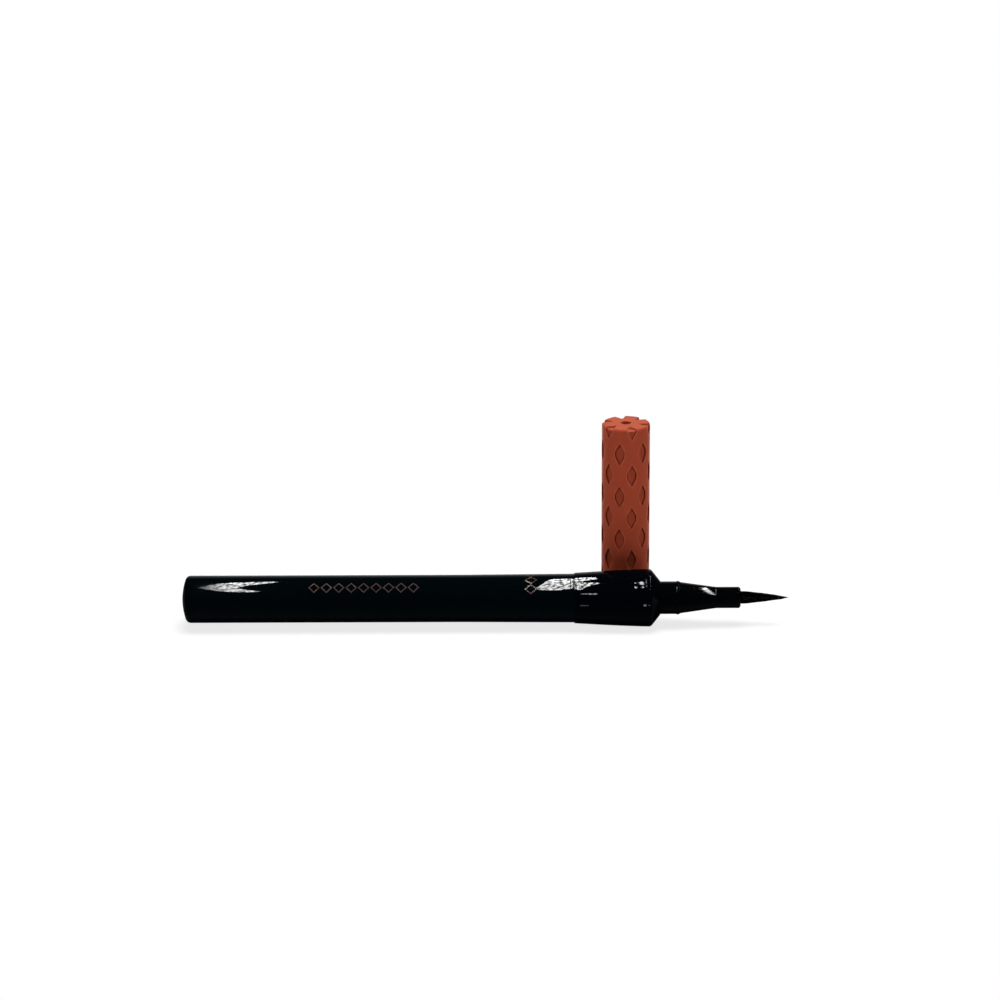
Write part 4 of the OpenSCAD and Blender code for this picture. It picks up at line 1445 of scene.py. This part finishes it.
@dataclass
class Studio:
    """The pale floor, the soft lamp, the bright surroundings and the camera.

    Args:
        target: What the camera looks at, in millimetres.
        distance: How far the camera stands from it, in millimetres.
        elevation: How far the camera looks down, in degrees.
        roll: How far it leans, in degrees.
        lens: Its focal length in millimetres.
        key_place: Where the lamp hangs, in millimetres.
        key_aim: What the lamp looks at, in millimetres.
        key_size: Side of the lamp in millimetres.
        key_power: Its power in watts.
        floor_size: Half the side of the floor in metres.
        floor_drop: How far the floor lies under the object, in metres.
        floor_tone: Tone of the floor to all but the camera.
        dim_tone: Tone of the floor's dim part to gloss.
        seen_tone: Tone of the floor to the camera, which only has to show the shadow.
        seen_glow: Light that brings the rest of it up to white for the camera.
        bounce: Glow of the floor to matt surfaces.
        white_from: Distances in metres between which the floor turns plain white to the camera.
        ambient: Light of the surroundings on matt surfaces.
        side_light: The same at the far left and right.
        gloss_light: Light of the surroundings in gloss, low behind the object and elsewhere.
    """

    target: tuple[float, float, float] = (3.057, -5.315, 27.578)
    distance: float = 1000.0
    elevation: float = 18.519
    roll: float = -0.197
    lens: float = 174.0
    key_place: tuple[float, float, float] = (30.0, -15.0, 620.0)
    key_aim: tuple[float, float, float] = (20.0, 0.0, 10.0)
    key_size: float = 360.0
    key_power: float = 3.4
    floor_size: float = 3.0
    floor_drop: float = 2e-5
    floor_tone: float = 0.72
    dim_tone: float = 0.05
    seen_tone: float = 0.30
    seen_glow: float = 0.79
    bounce: float = 0.19
    white_from: tuple[float, float] = (0.09, 0.2)
    ambient: float = 0.018
    side_light: float = 0.13
    gloss_light: tuple[float, float] = (0.6, 0.010)

    def camera(self) -> None:
        """Looks at the target from the front: back off along the view by the distance, then roll."""
        e, r = math.radians(self.elevation), math.radians(self.roll)
        forward = np.array([0.0, math.cos(e), -math.sin(e)])
        right, up = np.array([1.0, 0.0, 0.0]), np.array([0.0, math.sin(e), math.cos(e)])
        right_rolled = math.cos(r) * right + math.sin(r) * up
        up_rolled = -math.sin(r) * right + math.cos(r) * up
        place = (np.array(self.target) - self.distance * forward) * MM
        data = bpy.data.cameras.new("camera")
        data.lens, data.sensor_width = self.lens, 36.0
        camera = bpy.data.objects.new("camera", data)
        columns = np.stack([right_rolled, up_rolled, -forward, place], axis=-1)
        camera.matrix_world = Matrix([*columns.tolist(), [0.0, 0.0, 0.0, 1.0]])
        bpy.context.scene.collection.objects.link(camera)
        bpy.context.scene.camera = camera

    def floor(self) -> None:
        """A wide pale floor that keeps the shadow, and is white to the camera further out.

        To gloss it is dim in front of the object, past its tail and past the brush.
        """
        size, level = self.floor_size, -self.floor_drop
        corners = [(-size, -size, level), (size, -size, level), (size, size, level), (-size, size, level)]
        mesh = bpy.data.meshes.new("floor")
        mesh.from_pydata(corners, [], [(0, 1, 2, 3)])
        floor = bpy.data.objects.new("floor", mesh)
        bpy.context.scene.collection.objects.link(floor)
        material = bpy.data.materials.new("floor_pale")
        material.use_nodes = True
        tree = material.node_tree
        tree.nodes.clear()
        w = Wiring(tree)
        path = w.add("ShaderNodeLightPath")
        seen = path.outputs["Is Camera Ray"]
        place = w.add("ShaderNodeTexCoord").outputs["Object"]
        away = w.add("ShaderNodeVectorMath", {0: place}, operation="LENGTH").outputs["Value"]
        far = w.fade(away, *self.white_from)
        tones = (self.floor_tone, self.dim_tone, self.seen_tone)
        pale, dark, plain = ((tone, tone, tone, 1.0) for tone in tones)
        spot = w.add("ShaderNodeSeparateXYZ", {0: place}).outputs
        front = w.fade(spot["Y"], -0.02, 0.02, 1.0, 0.0)
        past = w.sum("MAXIMUM", w.fade(spot["X"], -0.068, -0.058, 1.0, 0.0),
                     w.fade(spot["X"], 0.032, 0.042, 0.0, 0.6))
        dim = w.sum("MULTIPLY", w.sum("MAXIMUM", front, past), path.outputs["Is Glossy Ray"])
        unseen = w.mix(dim, pale, dark)
        lit = w.add("ShaderNodeBsdfDiffuse", {"Color": w.mix(seen, unseen, plain)}).outputs[0]
        unlit = w.sum("MULTIPLY_ADD", path.outputs["Is Diffuse Ray"], self.bounce,
                      w.sum("MULTIPLY", seen, self.seen_glow))
        glow = w.add("ShaderNodeEmission", {"Color": (1, 1, 1, 1), "Strength": unlit}).outputs[0]
        near = w.add("ShaderNodeAddShader", {0: lit, 1: glow}).outputs[0]
        white = w.add("ShaderNodeEmission", {"Color": (1, 1, 1, 1), "Strength": 1.0}).outputs[0]
        mixed = w.add("ShaderNodeMixShader", {0: w.sum("MULTIPLY", far, seen), 1: near, 2: white}).outputs[0]
        w.add("ShaderNodeOutputMaterial", {"Surface": mixed})
        mesh.materials.append(material)

    def key_lamp(self) -> None:
        """Adds the square area lamp, which lights by diffuse rays only."""
        data = bpy.data.lights.new("key_lamp", "AREA")
        data.shape, data.size, data.energy = "SQUARE", self.key_size * MM, self.key_power
        lamp = bpy.data.objects.new("key_lamp", data)
        lamp.location = [c * MM for c in self.key_place]
        towards = Vector(self.key_aim) - Vector(self.key_place)
        lamp.rotation_euler = towards.to_track_quat("-Z", "Y").to_euler()
        lamp.visible_glossy = False
        bpy.context.scene.collection.objects.link(lamp)

    def world(self) -> None:
        """White to the camera, bright low behind the object to gloss, brighter at the sides to the rest."""
        world = bpy.data.worlds.new("surroundings")
        bpy.context.scene.world = world
        world.use_nodes = True
        tree = world.node_tree
        tree.nodes.clear()
        w = Wiring(tree)
        path = w.add("ShaderNodeLightPath")
        parts = w.add("ShaderNodeSeparateXYZ", {0: w.add("ShaderNodeTexCoord").outputs["Generated"]})
        behind = w.fade(parts.outputs["Y"], -0.05, 0.45)
        rising = w.fade(parts.outputs["Z"], 0.05, 0.75, 1.0, 0.0)
        beside = w.fade(w.sum("ABSOLUTE", parts.outputs["X"]), 0.1, 0.4, 1.0, 0.03)
        gloss = w.sum("MULTIPLY_ADD", w.sum("MULTIPLY", w.sum("MULTIPLY", behind, rising), beside),
                      *self.gloss_light)
        glossy = w.sum("MAXIMUM", path.outputs["Is Glossy Ray"], path.outputs["Is Transmission Ray"])
        sides = w.fade(w.sum("ABSOLUTE", parts.outputs["X"]), 0.3, 0.9, self.ambient, self.side_light)
        other = w.sum("MULTIPLY_ADD", glossy, w.sum("SUBTRACT", gloss, sides), sides)
        strength = w.sum("MAXIMUM", other, path.outputs["Is Camera Ray"])
        white = (1.0, 1.0, 1.0, 1.0)
        shade = w.add("ShaderNodeBackground", {"Color": white, "Strength": strength}).outputs[0]
        w.add("ShaderNodeOutputWorld", {"Surface": shade})

    def build(self) -> None:
        """Makes the camera, the floor, the surroundings, the lamp and the light cards."""
        scene = bpy.context.scene
        scene.view_settings.view_transform = "Standard"
        self.camera()
        self.floor()
        self.world()
        self.key_lamp()
        for card in CARDS:
            card.build()


def main() -> None:
    """Loads the frame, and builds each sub-assembly on it."""
    logging.basicConfig(level=logging.INFO, format="%(message)s")
    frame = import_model()
    nose_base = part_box("collar")[1].x / MM
    low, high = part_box("barrel_shell")
    pen = Axis((nose_base, (low.y + high.y) / 2 / MM, (low.z + high.z) / 2 / MM), Direction.LYING)
    low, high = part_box("cap_sleeve")
    cap = Axis(((low.x + high.x) / 2 / MM, (low.y + high.y) / 2 / MM, 0.0), Direction.UPRIGHT)
    Barrel(pen).build()
    Collar(pen).build()
    Nose(pen).build()
    Brush(pen).build()
    InkSystem(pen).build(frame)
    CapSleeve(cap).build()
    CapInside(cap).build(frame)
    Studio().build()


if __name__ == "__main__":
    main()
